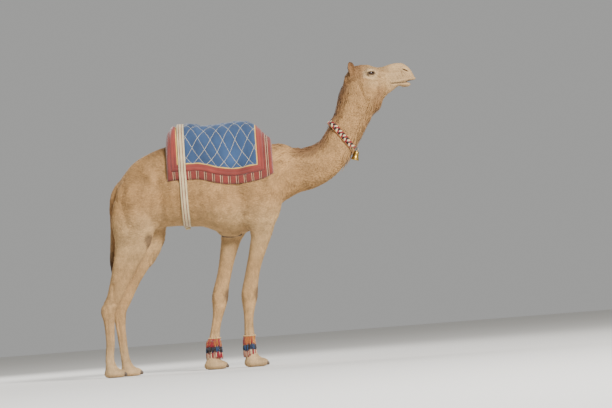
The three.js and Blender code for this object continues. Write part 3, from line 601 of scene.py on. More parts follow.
def leg_strokes():
    """Tendons and the grooves beside them, along each leg's own line."""
    strokes = []
    for name in LEGS:
        fore = name.startswith("fore")
        line = [(leg_x(name, z), z) for z in range(190, 540, 50)]
        strokes += [(-4.5, 7, [(x - 10, z) for x, z in line]), (2.5, 8, [(x - 27, z) for x, z in line])]
        joint = leg_x(name, 610 if fore else 560)
        if fore:
            strokes += [(-4, 10, [(joint + 22, 650), (joint + 36, 600), (joint + 22, 556)]),
                        (4, 12, [(joint - 44, 640), (joint - 40, 580)])]
        else:
            strokes += [(-8, 15, [(joint - 18, 780), (joint - 22, 700), (joint - 26, 630)]),
                        (5, 14, [(joint + 24, 600), (joint + 18, 540)])]
    return strokes


# %% Apply strokes to points
def stroke_height(points, strokes, across, down, facing):
    """Sum of the strokes at points seen along one axis, where the skin faces that way."""
    flat = points[:, (across, down)]
    total = np.zeros(len(points))
    for height, width, line in strokes:
        line = np.array(line, float)
        low, high = line.min(axis=0) - 2.5 * width, line.max(axis=0) + 2.5 * width
        some = np.flatnonzero(((flat > low) & (flat < high)).all(axis=1))
        if not len(some):
            continue
        nearest = np.full(len(some), OUTSIDE)
        for a, b in zip(line, line[1:]):
            way = b - a
            share = np.clip((flat[some] - a) @ way / (way @ way), 0, 1)
            gap = np.linalg.norm(flat[some] - a - share[:, None] * way, axis=1)
            nearest = np.minimum(nearest, gap)
        total[some] += height * np.exp(-(nearest / width) ** 2)
    return total * facing


SIDE_ALL = SIDE_STROKES + RIBS + leg_strokes()


def relief(points, normals):
    """How far bones and folds stand out of the smooth form."""
    sideways = ramp(np.abs(normals[:, 1]), 0.35, 0.75)
    forwards = ramp(normals[:, 0], 0.5, 0.9) * (points[:, 0] > 300)
    upwards = ramp(normals[:, 2] + normals[:, 0], 0.3, 0.8) * (points[:, 2] < 90)
    on_body = 1 - ramp(points[:, 2], 1150, 1250) * ramp(-points[:, 0], 1225, 1240)
    return (stroke_height(points, SIDE_ALL, 0, 2, sideways) * on_body
            + stroke_height(points, FRONT_STROKES, 1, 2, forwards)
            + stroke_height(points, TOE_CLEFTS, 0, 1, upwards))


# %% [markdown]
# The eyes sit in balls of lid that are cut open like an almond, and the lips
# are parted by a shallow slot. Both are made in the field before it is meshed,
# so the lids curve round the eyeball and the lips have an inside.

# %% The full field of the skin
LID = 27.0                    # radius of the ball of lids round each eye
LID_TURN = -9                 # degrees, so the front corner of the eye is the lower one
to_opening = lump((EYE[0] + 1, EYE[1] + 19, EYE[2] - 1), (24.0, 30.0, 13.0), LID_TURN)[0][2]
to_lips = lump((1400, 0, 2314), (66, 80, 9.5), 1)[0][2]
to_nostril = lump((1331, 47, 2409), (27, 15, 4.6), -27)[0][2]


def skin_field(points, depth):
    """Distance to the skin; `depth` is how far it lies inside the outline."""
    field = outline(points) + depth
    head = near(points, (980, -150, 2280), (1440, 150, 2470))
    p = points[head]
    on_left = mirrored(p)
    lids = np.linalg.norm(on_left - EYE, axis=1) - LID
    shape = melted(field[head], lids, 16)
    for cutter, width in ((to_opening(on_left), 5), (to_lips(p), 7), (to_nostril(on_left), 4)):
        shape = -melted(-shape, cutter, width)
    field[head] = shape
    return -melted(-field, points[:, 2] - 0.6, 7)


# %% Mesh the skin on a grid that is finest at the head
def grid_lines(*runs):
    """Grid lines along one axis, from runs of (start, end, step)."""
    return np.concatenate([np.arange(start, end, step) for start, end, step in runs])


axes = [
    grid_lines((-1450, 700, 10), (700, 960, 6), (960, 1431, 3)),
    grid_lines((-300, -130, 10), (-130, -60, 6), (-60, 60, 5), (60, 130, 6), (130, 301, 10)),
    grid_lines((-27, 1780, 10), (1780, 2290, 8), (2290, 2531, 3))]
COARSE = 4                    # every fourth line is measured first, to find the surface
USUAL_DEPTH = 8               # the skin lies about this far inside the outline
MEASURED = 42                 # grid points this near to that depth are measured in full
FARTHEST = 60                 # distances are cut off here before meshing


def coarse_first(lines):
    picked = lines[::COARSE]
    return picked if picked[-1] == lines[-1] else np.r_[picked, lines[-1]]


coarse_axes = [coarse_first(lines) for lines in axes]
nodes = np.stack(np.meshgrid(*coarse_axes, indexing="ij"), -1)
field = outline(nodes.reshape(-1, 3)).reshape(nodes.shape[:3]).astype(np.float32)
for k in range(3):
    place = np.interp(axes[k], coarse_axes[k], np.arange(len(coarse_axes[k])))
    first = np.minimum(place.astype(int), len(coarse_axes[k]) - 2)
    part = (place - first).astype(np.float32).reshape([-1 if j == k else 1 for j in range(3)])
    field = field.take(first, axis=k) * (1 - part) + field.take(first + 1, axis=k) * part
close = np.flatnonzero(np.abs(field.ravel() + USUAL_DEPTH) < MEASURED)
index = np.unravel_index(close, field.shape)
points = np.stack([axes[k][index[k]] for k in range(3)], -1)
base_depth = 4 + 6 * ramp(points[:, 2], 900, 1160) * (1 - ramp(points[:, 0], 930, 1030))
flat_field = field.ravel()
flat_field[close] = skin_field(points, base_depth)
volume = openvdb.FloatGrid(OUTSIDE)
volume.copyFromArray(np.clip(flat_field, -FARTHEST, FARTHEST).reshape(field.shape))
places, quads = volume.convertToQuads(0.0)
skin_points = np.stack([np.interp(places[:, k], np.arange(len(axes[k])), axes[k]) for k in range(3)], -1)
skin_quads = quads.astype(np.int32)
print(f"{len(points)} grid points measured, skin of {len(skin_quads)} quads")


# %% Draw the skin in to its own depth, with the relief
def point_normals(points, quads):
    """A normal for each point, from the quads around it."""
    a, b, c, d = (points[quads[:, k]] for k in range(4))
    normals = np.cross(c - a, d - b)
    total = np.zeros_like(points)
    for k in range(4):
        for axis in range(3):
            total[:, axis] += np.bincount(quads[:, k], normals[:, axis], len(points))
    return unit(total)


LONGEST_MOVE = 14             # millimetres, in each of three rounds
for _ in range(3):
    normals = point_normals(skin_points, skin_quads)
    wanted = coat_depth(skin_points) - relief(skin_points, normals)
    error = skin_field(skin_points, wanted)
    skin_points -= normals * np.clip(error, -LONGEST_MOVE, LONGEST_MOVE)[:, None]
skin_normals = point_normals(skin_points, skin_quads)
print("skin box:", skin_points.min(axis=0).round(), skin_points.max(axis=0).round())

# %% [markdown]
# ## Ears
# A dromedary's ears are small upright cups that open outwards. Each is a tube
# of closed rings that is pressed flat and hollowed, and its root is buried in
# the head. They join the skin's mesh, so the coat grows over them too.

# %% Two cupped ears
# Half-widths of each ear at shares of its height, from below the skin up to the tip.
EAR_SHARE = np.array([-0.22, -0.05, 0.08, 0.2, 0.32, 0.44, 0.56, 0.67, 0.77, 0.86, 0.93, 0.98, 1.0])
EAR_WIDTH = np.array([13, 17, 20, 23, 25.5, 27, 28, 28, 27, 24, 19, 12, 2.5])
EAR_THICK = 5.0
EAR_CUP = 20.0                # depth of the cup where the half-width is 25
EAR_ROUND = 24                # points round each ring


def ear(side):
    """Points and quads of one ear, whose faces look outwards."""
    root, tip = np.array([876, side * 52, 2402.0]), np.array([861, side * 90, 2507.0])
    up = unit(tip - root)
    facing = unit(np.array([0.9, side * -0.4, 0.05]))
    facing = unit(facing - up * (facing @ up))
    out = np.cross(facing, up)
    out = out * np.sign(out[1] * side)
    across, through = np.cos(circle(EAR_ROUND)), np.sin(circle(EAR_ROUND))
    rings = []
    for share, width in zip(EAR_SHARE, EAR_WIDTH):
        hollow = EAR_CUP * (width / 25) * ramp(share, -0.1, 0.3)
        middle = root + (tip - root) * share + out * 5 * math.sin(math.pi * max(share, 0))
        thick = through * EAR_THICK / 2 * min(1, width / 9) - hollow * (1 - across ** 2) + hollow / 2
        rings.append(middle + np.outer(across * width, facing) + np.outer(thick, out))
    points = np.concatenate(rings)
    quads = ring_quads(len(EAR_SHARE), EAR_ROUND)
    centre = points.mean(axis=0)
    first, second, third, fourth = (points[quads[:, k]] - centre for k in range(4))
    volume = (first * np.cross(second, third) + first * np.cross(third, fourth)).sum()
    return points, quads[:, ::-1] if volume < 0 else quads


for side in (-1, 1):
    points, quads = ear(side)
    skin_quads = np.r_[skin_quads, quads + len(skin_points)].astype(np.int32)
    skin_points = np.r_[skin_points, points]
skin_normals = point_normals(skin_points, skin_quads)
print(f"skin with ears: {len(skin_quads)} quads")

# %% [markdown]
# ## Colours of the coat
# A sandy dromedary is palest on the belly, throat and legs, warm fawn on the
# flanks, and dark on the hump, nape, mane and tail tuft, where the sun and the
# long hair deepen it. One function gives the colour at any place, and both the
# skin and every tuft read it, so the markings agree however it is seen.

# %% One colour for each place on the body
def linear_rgb(*hex_colours):
    """Linear RGB triples."""
    return [np.array(linear(colour)[:3]) for colour in hex_colours]


FAWN, SAND, DARK, PALE = linear_rgb("#AE8657", "#C3A172", "#765234", "#CDB188")
LEG, MUZZLE, CALLUS, TAIL_TIP = linear_rgb("#B69163", "#B5946A", "#67503A", "#50361F")
LIDS, MOUTH = linear_rgb("#3E2E22", "#4A2E26")


def waves(points, length, seed):
    """A soft random pattern between about -1 and 1, with waves of a length in millimetres."""
    source = np.random.default_rng(seed)
    directions = unit(source.normal(size=(7, 3))) * 2 * math.pi / length
    lengths = source.uniform(0.7, 1.5, 7)
    phases = source.uniform(0, 2 * math.pi, 7)
    return np.sin((points @ directions.T) * lengths + phases).sum(axis=1) / 3.5


def place_colour(points):
    """The coat's colour at each place, from broad fields down to small marks."""
    x, y, z = points.T
    share, height = neck_place(points)
    on_neck = ramp(x, 300, 420) * (1 - ramp(z, 2330, 2420))
    colour = np.tile(FAWN, (len(points), 1))

    def tint(other, weight):
        colour[:] += (other - colour) * np.clip(weight, 0, 1)[:, None]
    tint(SAND, 0.7 * (1 - ramp(z, 1180, 1480)) * (1 - on_neck))
    tint(DARK, 0.75 * ramp(z, 1800, 1960) * ramp(-x, -260, -60) * (1 - on_neck))
    tint(DARK, 0.9 * on_neck * ramp(height, 0.45, 0.85))
    tint(DARK, 0.55 * on_neck * ramp(-height, 0.6, 0.9) * ramp(share, 0.45, 0.8))
    tint(DARK, 0.6 * ramp(z, 1790, 1860) * ramp(x, 90, 180) * (1 - on_neck))
    tint(LEG, 1 - ramp(z, 820, 1120))
    tint(PALE, 0.45 * (1 - ramp(z, 90, 420)))
    tint(SAND, 0.55 * ramp(x, 940, 1040) * ramp(z, 2230, 2330))
    tint(DARK, 0.8 * ramp(z, 2440, 2488) * ramp(-x, -1010, -930))
    tint(MUZZLE, ramp(x, 1120, 1240))
    on_left = mirrored(points)
    lid = np.linalg.norm((on_left - EYE) / (1.25, 1, 0.9), axis=1)
    tint(PALE, 0.5 * ramp(-lid, -62, -44))
    tint(LIDS, 0.85 * ramp(-lid, -31, -25))
    tint(LIDS, 0.85 * ramp(-to_nostril(on_left), -4, 1))
    corner_line = np.abs(z - 2308) + 40 * (x < 1200)
    front_line = np.abs(z - 2313 - (x - 1340) * 0.05) + 60 * (x < 1330)
    lips = np.minimum(corner_line, front_line)
    tint(LIDS, 0.7 * ramp(-lips, -6, -1.5) * ramp(x, 1190, 1215))
    tint(MOUTH, ramp(-to_lips(points), -5, -1.5) * (x > 1320))
    tail = ramp(-x, 1225, 1245) * (np.abs(y) < 50) * ramp(z, 860, 880)
    tint(DARK, 0.5 * tail)
    tint(TAIL_TIP, tail * ramp(-z, -1150, -1000))
    for name in LEGS:
        fore = name.startswith("fore")
        level, ahead_of_leg, aside = (625, 60, 118) if fore else (1130, 148, 150)
        knee = np.array([leg_x(name, level) + ahead_of_leg, side_of(name) * aside, level])
        spot = np.linalg.norm((points - knee) / (1, 1, 1.5), axis=1)
        tint(CALLUS, 0.8 * ramp(-spot, -58, -30))
    shade = 1 + 0.10 * waves(points, 420, 1) + 0.07 * waves(points, 130, 2) + 0.05 * waves(points, 38, 3)
    return colour * shade[:, None]


# %% Skin and hair
# Skin under a thin coat: soft, matt, with a short nap that shows as fine
# streaks along the hair. The streaks are 3 mm apart, coarser than real hair,
# so that they still show at the size of the picture.
CLOUDS = (0.3, 0.7)           # the span in which most of a noise pattern lies


def streaked(name, roughness, sheen, streak, bump_depth):
    """Hide or hair: the painted colour, mottled by streaks that are also a bump."""
    material, shader = new_material(name, Roughness=roughness, Sheen_Weight=sheen, Sheen_Roughness=0.4,
                                    Specular_IOR_Level=0.3, IOR=1.45)
    painted = stored(material, "colour").outputs["Color"]
    place = own_place(material)
    stretch = add_node(material, "ShaderNodeMapping", {"Vector": place}, Scale=(0.35, 1, 0.6))
    grain = noise(material, stretch.outputs["Vector"], 1000 / streak, 3.0, Roughness=0.6)
    tones = remap(material, grain, CLOUDS, (0.72, 1.22))
    fields = remap(material, noise(material, place, 18.0, 2.0), CLOUDS, (0.88, 1.12))
    tinted = scaled(material, painted, reckon(material, "MULTIPLY", tones, fields))
    surface(material, shader, tinted, grain, 0.6, bump_depth * MM)
    return material


hide = streaked("camel_hide_short_nap", 0.78, 0.06, 3.0, 1.6)
wool_coat = streaked("camel_wool_coat", 0.75, 0.06, 2.2, 0.5)
print("materials:", hide.name, wool_coat.name)

# %% The skin as an object, unwrapped by its own shape
skin = mesh_object("skin", skin_points, skin_quads, hide)
paint(skin.data, place_colour(skin_points))
skin.data.uv_layers.new(name="OFBake")
bpy.context.view_layer.objects.active = skin
skin.select_set(True)
bpy.ops.object.mode_set(mode="EDIT")
bpy.ops.mesh.select_all(action="SELECT")
bpy.ops.uv.smart_project(angle_limit=1.15, island_margin=0.003)
bpy.ops.object.mode_set(mode="OBJECT")
corner_uv = np.zeros(len(skin_quads) * 8, np.float32)
skin.data.uv_layers["OFBake"].data.foreach_get("uv", corner_uv)
corner_uv = corner_uv.reshape(-1, 4, 2)
print("skin unwrapped, UV span", corner_uv.min(axis=(0, 1)), corner_uv.max(axis=(0, 1)))

# %% Fewer faces on the smooth flanks
# The Decimate modifier merges faces where the form is plain. Its vertex group
# holds the body only, so the head keeps all of its detail.
HEAD_FROM = 940               # x beyond which no faces are merged
body_only = skin.vertex_groups.new(name="body_only")
body_only.add(np.flatnonzero(skin_points[:, 0] < HEAD_FROM).tolist(), 1.0, "REPLACE")
thinner = skin.modifiers.new("thinner", "DECIMATE")
thinner.ratio = 0.66
thinner.vertex_group = body_only.name
bpy.ops.object.modifier_apply(modifier=thinner.name)
print("skin thinned to", len(skin.data.polygons), "faces")
FLESH = ["trunk", "neck_lower", "neck_upper", "head", "ear_right", "ear_left", "tail"]
FLESH += [f"{name}_{part}" for name in LEGS for part in ("upper", "cannon", "foot")]
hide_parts(*FLESH)

# %% [markdown]
# ## The coat
# A museum model shows a coat of tufts, and so does this one: each tuft is a
# small solid blade with a ridge on its back, three sides at the root and a
# point at the tip. Short tufts lie flat on the flanks and legs, tiny ones
# cover the face, and long ones hang from the nape, throat, shoulders and tail.
# Tufts bend round the body, because the field says how far their middles and
# tips are from the skin. Only those of the ears and the tail tuft do not.

# %% Which way the hair lies
def lie_of_hair(points, normals):
    """The direction that hair takes along the skin, swirled a little."""
    x, y, z = points.T
    share, height = neck_place(points)
    way = np.tile([-1.0, 0.0, -0.38], (len(points), 1))

    def blend(direction, weight):
        way[:] += (np.asarray(direction) - way) * weight[:, None]
    blend((-1, 0, 0.05), 1 - ramp(z, 1180, 1300))
    blend((-0.45, 0, -1), ramp(-x, 1080, 1180))
    blend((-0.25, 0, -1), ramp(x, 60, 220) * (1 - ramp(z, 1500, 1760)))
    blend((-0.1, 0, -1), 1 - ramp(z, 960, 1200))
    on_neck = ramp(x, 300, 420) * (1 - ramp(z, 2390, 2455))
    nearest = np.clip((share * (len(neck_line) - 1)).astype(int), 0, len(neck_line) - 1)
    down_neck = -neck_along[nearest] + np.array([-0.1, 0, -0.25]) - 0.4 * height[:, None] * neck_up[nearest]
    way += (down_neck - way) * on_neck[:, None]
    blend((-1, 0, -0.28), ramp(x, 930, 1060) * ramp(over_jaw(x, z), 2160, 2290))
    ears = ramp(z, 2400, 2440) * (x < 905) * (np.abs(y) > 46)
    blend((-0.1, 0, 1), ears.astype(float))
    blend((0, 0, -1), ramp(-x, 1215, 1235) * ramp(z, 820, 860) * (np.abs(y) < 50))
    swirl = 0.22 * waves(points, 170, 11) + 0.10 * waves(points, 45, 12)
    way += np.cross(normals, way) * swirl[:, None]
    down = np.array([0, 0, -1.0]) + normals * normals[:, 2:]
    way -= normals * (way * normals).sum(axis=1)[:, None]
    no_way = 1 - ramp(np.linalg.norm(way, axis=1), 0.3, 0.7)
    way += (down - way) * no_way[:, None]
    return unit(way)


# %% Where no hair grows
PAD_FRONT, PAD_REAR = 150, -752
HEM_ANGLE = 82.5              # degrees from the ridge to the pad's lower edge
HEM_SLOPE = math.tan(math.radians(90 - HEM_ANGLE))
GIRTH_X, GIRTH_WIDTH = -617, 62
COLLAR_AT, COLLAR_ALONG = np.array([752, 0, 1898]), np.array([0.803, 0, 0.595])
# Middle x and y of each cuff, its half-depth and its half-width.
ANKLETS = {"fore_right": (-169, -113, 61, 60), "fore_left": (-478, 112, 76, 62)}
PAD_MARGINS = (22, 24)        # how far hair grows in under the pad's ends and its hem
GIRTH_BARE, BAND_BARE = 25, 24    # half-widths of the bare strips under girth and neck band


def trunk_middle(x):
    """Height of the trunk's middle, at least 1500: the rays of pad and girth start there."""
    return np.maximum((along(TRUNK, 1, x) + along(TRUNK, 2, x)) / 2, 1500)


def hem_height(x):
    """Height of the saddle pad's lower edge at x."""
    return trunk_middle(x) + HEM_SLOPE * along(TRUNK, 3, x)


def hair_share(points, normals):
    """1 where the coat grows fully, 0 where there is none or where it is covered."""
    x, y, z = points.T
    on_left = mirrored(points)
    grows = np.ones(len(points))
    ends, under_hem = PAD_MARGINS
    hem = hem_height(x)
    grows[(x > PAD_REAR + ends) & (x < PAD_FRONT - ends) & (z > hem + under_hem)] = 0
    grows[(np.abs(x - GIRTH_X) < GIRTH_BARE) & (z < hem + 30) & (z > 1150)] = 0
    from_band = (points - COLLAR_AT) @ COLLAR_ALONG
    grows[(np.abs(from_band) < BAND_BARE) & (x > 560) & (z > 1650) & (z < 2200)] = 0
    grows[(z > 122) & (z < 250) & (x > -700)] = 0
    grows[(x < -1228) & (np.abs(y) < 50) & (normals[:, 2] < -0.25)] = 0
    grows *= ramp(z, 8, 16) * (1 - (normals[:, 2] < -0.6) * (z < 40))
    grows *= ramp(np.linalg.norm((on_left - EYE) / (1.15, 1, 0.85), axis=1), 25.5, 29)
    grows *= ramp(to_nostril(on_left), 3.5, 7)
    grows *= ramp(to_lips(points), 3.0, 9) + (x < 1300)
    grows *= 1 - (np.abs(y) < 5.5) * (x > 1340) * (z > 2340) * (z < 2404)
    return np.clip(grows, 0, 1)


# %% Scatter roots over the skin
split = np.concatenate([skin_quads[:, (0, 1, 2)], skin_quads[:, (0, 2, 3)]])
split_uv = np.concatenate([corner_uv[:, (0, 1, 2)], corner_uv[:, (0, 2, 3)]])
corner = skin_points[split]
face_normal = np.cross(corner[:, 1] - corner[:, 0], corner[:, 2] - corner[:, 0])
face_area = np.linalg.norm(face_normal, axis=1) / 2 / 1e6
face_middle = corner.mean(axis=1)
face_way = unit(face_normal)
face_hair = hair_share(face_middle, face_way)


def scatter(where, per_square_metre):
    """Even but random roots: place, normal and place on the unwrap of each."""
    weight = face_area * face_hair * where * per_square_metre
    total = np.cumsum(weight)
    count = int(total[-1])
    marks = (np.arange(count) + chance.uniform(0, 1, count)) * total[-1] / count
    face = np.minimum(np.searchsorted(total, marks), len(total) - 1)
    a, b = chance.uniform(0, 1, (2, count))
    fold = a + b > 1
    a, b = np.where(fold, 1 - a, a), np.where(fold, 1 - b, b)
    shares = np.stack([1 - a - b, a, b], -1)[:, :, None]
    normals = unit((skin_normals[split[face]] * shares).sum(axis=1))
    return (corner[face] * shares).sum(axis=1), normals, (split_uv[face] * shares).sum(axis=1)


# %% Grow tufts from roots
UV_PATCH = 0.003              # each tuft's patch on the unwrap
FLOOR_GAP = 0.4               # no hair of the feet goes below this
OWN_SHARE = 0.45              # how much of its own normal each blade keeps


def grow(name, roots, length, width, lift=0.16, rows=2, hang=0.0, spread=0.16, tip_light=1.12,
         root_shade=0.78, hug=True):
    """A coat piece of tufts. Length and width are millimetres, `lift` is how high
    the middle stands as a share of the length, and `hang` pulls long hair down."""
    places, normals, unwrap = roots
    count = len(places)
    random_length = length * chance.uniform(0.72, 1.25, count)
    random_width = width * chance.uniform(0.75, 1.3, count)
    lie = lie_of_hair(places, normals)
    across = np.cross(normals, lie)
    lie = unit(lie + across * chance.normal(0, spread, count)[:, None])
    across = np.cross(normals, lie)
    depth = np.maximum(-outline(places), 0.5) if hug else np.full(count, 6.0)
    stand = lift * chance.uniform(0.5, 1.5, count)
    rings = []
    for row in range(rows + 1):
        share = row / rows
        spine = places + lie * (random_length * share)[:, None]
        spine[:, 2] -= hang * random_length * share ** 2
        if row and hug:
            over = np.clip(outline(spine) + depth, -0.2 * random_length, 0.5 * random_length)
            free = hang if share > 0.5 else 0.0
            spine -= normals * (over * (1 - min(free, 0.8)))[:, None]
        height = stand * random_length * (share * (1.9 - 1.2 * share)) - 1.0 * (row == 0)
        spine += normals * np.minimum(height, depth + 4)[:, None]
        if row == rows:
            rings.append(spine[:, None, :])
            continue
        half = random_width / 2 * (0.8 + 0.9 * share - 1.3 * share ** 2)
        ridge = normals * (half * 0.75)[:, None]
        rings.append(np.stack([spine - across * half[:, None], spine + ridge,
                               spine + across * half[:, None]], 1))
    points = np.concatenate(rings, axis=1)
    points[..., 2] = np.maximum(points[..., 2], FLOOR_GAP)
    each = points.shape[1]
    faces = [(2, 1, 0)]
    for row in range(rows - 1):
        for k in range(3):
            a, b = row * 3 + k, row * 3 + (k + 1) % 3
            faces += [(a, b, b + 3), (a, b + 3, a + 3)]
    last = rows * 3
    faces += [(last - 3 + k, last - 3 + (k + 1) % 3, last) for k in range(3)]
    faces = np.array(faces)[None, :, ::-1] + np.arange(count)[:, None, None] * each
    obj = mesh_object(name, points.reshape(-1, 3), faces.reshape(-1, 3), wool_coat)
    # Each tuft is darker at its root, which is painted shade where the tufts lie over one another, and
    # lighter towards its tip.
    shade = np.repeat(np.linspace(root_shade, tip_light, rows + 1), [3] * rows + [1])
    colour = place_colour(places)[:, None, :] * shade[None, :, None]
    colour *= chance.uniform(0.86, 1.16, count)[:, None, None]
    paint(obj.data, colour.reshape(-1, 3))
    patch = np.array([(k / 2 - 0.5, row / rows - 0.5) for row in range(rows) for k in range(3)] + [(0, 0.5)])
    uv = unwrap[:, None, :] + patch[None] * UV_PATCH
    layer = obj.data.uv_layers.new(name="OFBake")
    layer.data.foreach_set("uv", uv.reshape(-1, 2)[faces.ravel()].astype(np.float32).ravel())
    corners = soft_normals(obj.data, faces.reshape(-1, 3), np.repeat(normals, each, axis=0))
    obj.data.normals_split_custom_set(corners)
    print(f"{name}: {count} tufts, {faces.size // 3} triangles")


def soft_normals(mesh, faces, body_normals):
    """Corner normals between the blade's own and the body's, so the coat shades as one.

    A face that turns away from the body keeps its own, or it would show black."""
    own, flat = np.zeros(len(mesh.vertices) * 3, np.float32), np.zeros(len(faces) * 3, np.float32)
    mesh.vertex_normals.foreach_get("vector", own)
    mesh.polygon_normals.foreach_get("vector", flat)
    flat = flat.reshape(-1, 3)
    corners = unit(own.reshape(-1, 3) * OWN_SHARE + body_normals * (1 - OWN_SHARE))[faces]
    away = (flat * body_normals[faces[:, 0]]).sum(axis=1) < 0.1
    corners[away] = flat[away, None]
    return corners.reshape(-1, 3)


# %% Regions of the coat
fx, fy, fz = face_middle.T
neck_share, neck_height = neck_place(face_middle)
is_leg = fz < 1120
is_face = ((fx > 985) & (over_jaw(fx, fz) > 2215)) | (fx > 1170)
is_ear = (fz > 2400) & (fx < 905) & (np.abs(fy) > 46)
is_tail = (fx < -1228) & (np.abs(fy) < 50) & (fz > 902)
is_neck = (fx > 330) & ~is_face & ~is_ear
is_trunk = ~(is_leg | is_face | is_ear | is_tail | is_neck)
is_muzzle = is_face & (fx > 1170)
is_mane = is_neck & (neck_height > 0.62) & (fz < 2330)
is_poll = is_neck & (neck_height > 0.55) & (fz >= 2300) & (fz < 2440)
is_beard = (is_neck & (neck_height < -0.62)) * ramp(neck_share, 0.42, 0.62)
is_withers = (fx > PAD_FRONT - 30) & (fx < 340) & (fz > 1730)
front_of_thigh = (fx > -960) & (face_way[:, 0] > 0.35)
is_stifle = is_leg & (fx < -700) & front_of_thigh & (np.abs(fz - 1015) < 55)
left = fy > 0
clumps = 0.35 + 1.1 * ramp(waves(face_middle, 75, 21), -0.5, 0.5)    # long hair grows in locks

BODY_TUFTS = 20000            # per square metre
for side, half in (("right", ~left), ("left", left)):
    grow(f"coat_shoulder_{side}", scatter(is_trunk & half & (fx > -500), BODY_TUFTS), 32, 5.3)
    grow(f"coat_quarter_{side}", scatter(is_trunk & half & (fx <= -500), BODY_TUFTS), 32, 5.3)
    grow(f"coat_neck_{side}", scatter(is_neck & half, BODY_TUFTS), 31, 5.2)
    grow(f"coat_face_{side}", scatter(is_face & ~is_muzzle & half, 56000), 12, 2.7, lift=0.12)
    grow(f"coat_muzzle_{side}", scatter(is_muzzle & half, 60000), 6.5, 2.0, lift=0.12)
    for pair, at in (("fore", fx > -700), ("hind", fx <= -700)):
        grow(f"coat_{pair}_leg_{side}", scatter(is_leg & half & at, 24500), 20, 4.1, lift=0.13)
grow("coat_stifle", scatter(is_stifle, 9000), 34, 5.5, rows=3, lift=0.25, hang=0.4, root_shade=0.7)
grow("coat_whiskers", scatter(is_muzzle & (fz < 2345) & (fx > 1290), 2600), 17, 0.9, lift=0.75,
     spread=0.5)
grow("coat_ears", scatter(is_ear, 36000), 11, 3.0, lift=0.14, hug=False)
grow("coat_tail", scatter(is_tail & (fz > 1080), 26000), 42, 6, rows=4, lift=0.10, hang=0.2)
grow("coat_tail_tuft", scatter(is_tail & (fz <= 1080), 36000), 62, 6, rows=4, lift=0.10, hang=0.3,
     spread=0.08, root_shade=0.8, hug=False)
grow("coat_mane", scatter(is_mane * clumps, BODY_TUFTS), 76, 8, rows=4, lift=0.24, hang=0.35, spread=0.25,
     root_shade=0.62, tip_light=1.05)
grow("coat_poll", scatter(is_poll, 15000), 36, 6.5, rows=3, lift=0.08, root_shade=0.66)
grow("coat_beard", scatter(is_beard * clumps, 15000), 74, 8, rows=4, lift=0.20, hang=0.50, spread=0.22,
     root_shade=0.66)
grow("coat_withers", scatter(is_withers * clumps, 14000), 66, 9, rows=4, lift=0.26, hang=0.2, spread=0.25)

# %% [markdown]
# ## Eyes, lashes and nails
# The eye is a smooth wet ball, far glossier than anything round it, so it is
# its own object. Its origin is at its centre and its Z axis looks along the
# gaze, so that the iris and the level slot of the pupil can be drawn from the
# distance to that axis. The nails are horn with fine growth lines.

# %% Tubes: one helper for lashes, braids, straps and fringes
def set_pattern(mesh, flat_mm):
    """Stores where each point lies on the flat cloth, which the woven materials read."""
    layer = mesh.attributes.new("flat", "FLOAT_VECTOR", "POINT")
    layer.data.foreach_set("vector", (flat_mm * MM).astype(np.float32).ravel())


def tubes(name, paths, half_width, half_thick, wide_hint, material, sides=6, closed=False, colours=None):
    """Tubes along paths, an array of (tubes, points, 3), with flat oval sections.
    Open tubes have lids, so their sides are an even number. The cloth pattern
    runs across and along each tube."""
    paths = np.asarray(paths, float)
    count, steps = paths.shape[:2]
    if closed:
        tangent = np.roll(paths, -1, axis=1) - np.roll(paths, 1, axis=1)
    else:
        tangent = np.gradient(paths, axis=1)
    tangent = unit(tangent)
    wide = np.broadcast_to(wide_hint, paths.shape)
    wide = unit(wide - tangent * (wide * tangent).sum(axis=-1, keepdims=True))
    thick = np.cross(tangent, wide)
    half_width = np.broadcast_to(half_width, (count, steps))[..., None, None]
    half_thick = np.broadcast_to(half_thick, (count, steps))[..., None, None]
    angle = circle(sides)[:, None]
    ring = wide[:, :, None] * half_width * np.cos(angle) + thick[:, :, None] * half_thick * np.sin(angle)
    points = (paths[:, :, None] + ring).reshape(-1, 3)
    spans = steps if closed else steps - 1
    start = np.arange(spans)[:, None] * sides
    after = (np.arange(spans)[:, None] + 1) % steps * sides
    k = np.arange(sides)[None, :]
    following = (k + 1) % sides
    quads = np.stack([start + k, start + following, after + following, after + k], -1).reshape(-1, 4)
    if not closed:
        lid = np.array([(m, m + 1, sides - 2 - m, sides - 1 - m) for m in range(sides // 2 - 1)])
        quads = np.concatenate([quads, lid[:, ::-1], lid + (steps - 1) * sides])
    quads = quads[None] + np.arange(count)[:, None, None] * steps * sides
    obj = mesh_object(name, points, quads.reshape(-1, 4), material)
    steps_along = np.linalg.norm(np.diff(paths, axis=1, prepend=paths[:, :1]), axis=-1).cumsum(axis=1)
    across = (half_width * np.cos(angle))[..., 0] * np.ones((count, steps, sides))
    lengthways = np.broadcast_to(steps_along[:, :, None], across.shape)
    set_pattern(obj.data, np.stack([across, lengthways, np.zeros_like(across)], -1))
    if colours is not None:
        paint(obj.data, np.repeat(np.asarray(colours), steps * sides, axis=0))
    return obj


# %% The eye's finish
EYE_RADIUS = 20.5
cornea, shader = new_material("wet_eye", Roughness=0.06, IOR=1.376, Coat_Weight=0.6, Coat_Roughness=0.02)
place = own_place(cornea)
flatten = add_node(cornea, "ShaderNodeVectorMath", {0: place}, {"operation": "MULTIPLY"},
                   i1=(1000 / EYE_RADIUS, 1000 / EYE_RADIUS, 0))
from_axis = add_node(cornea, "ShaderNodeVectorMath", {0: flatten.outputs[0]}, {"operation": "LENGTH"})
slot = add_node(cornea, "ShaderNodeVectorMath", {0: flatten.outputs[0]}, {"operation": "MULTIPLY"},
                i1=(3.0, 6.4, 0))
from_slot = add_node(cornea, "ShaderNodeVectorMath", {0: slot.outputs[0]}, {"operation": "LENGTH"})
rings = banded(cornea, from_axis.outputs["Value"], [
    (0.0, "#241008"), (0.30, "#3C210E"), (0.56, "#2C1508"), (0.64, "#120805"), (0.74, "#4D392B"),
    (0.9, "#6B5242")])
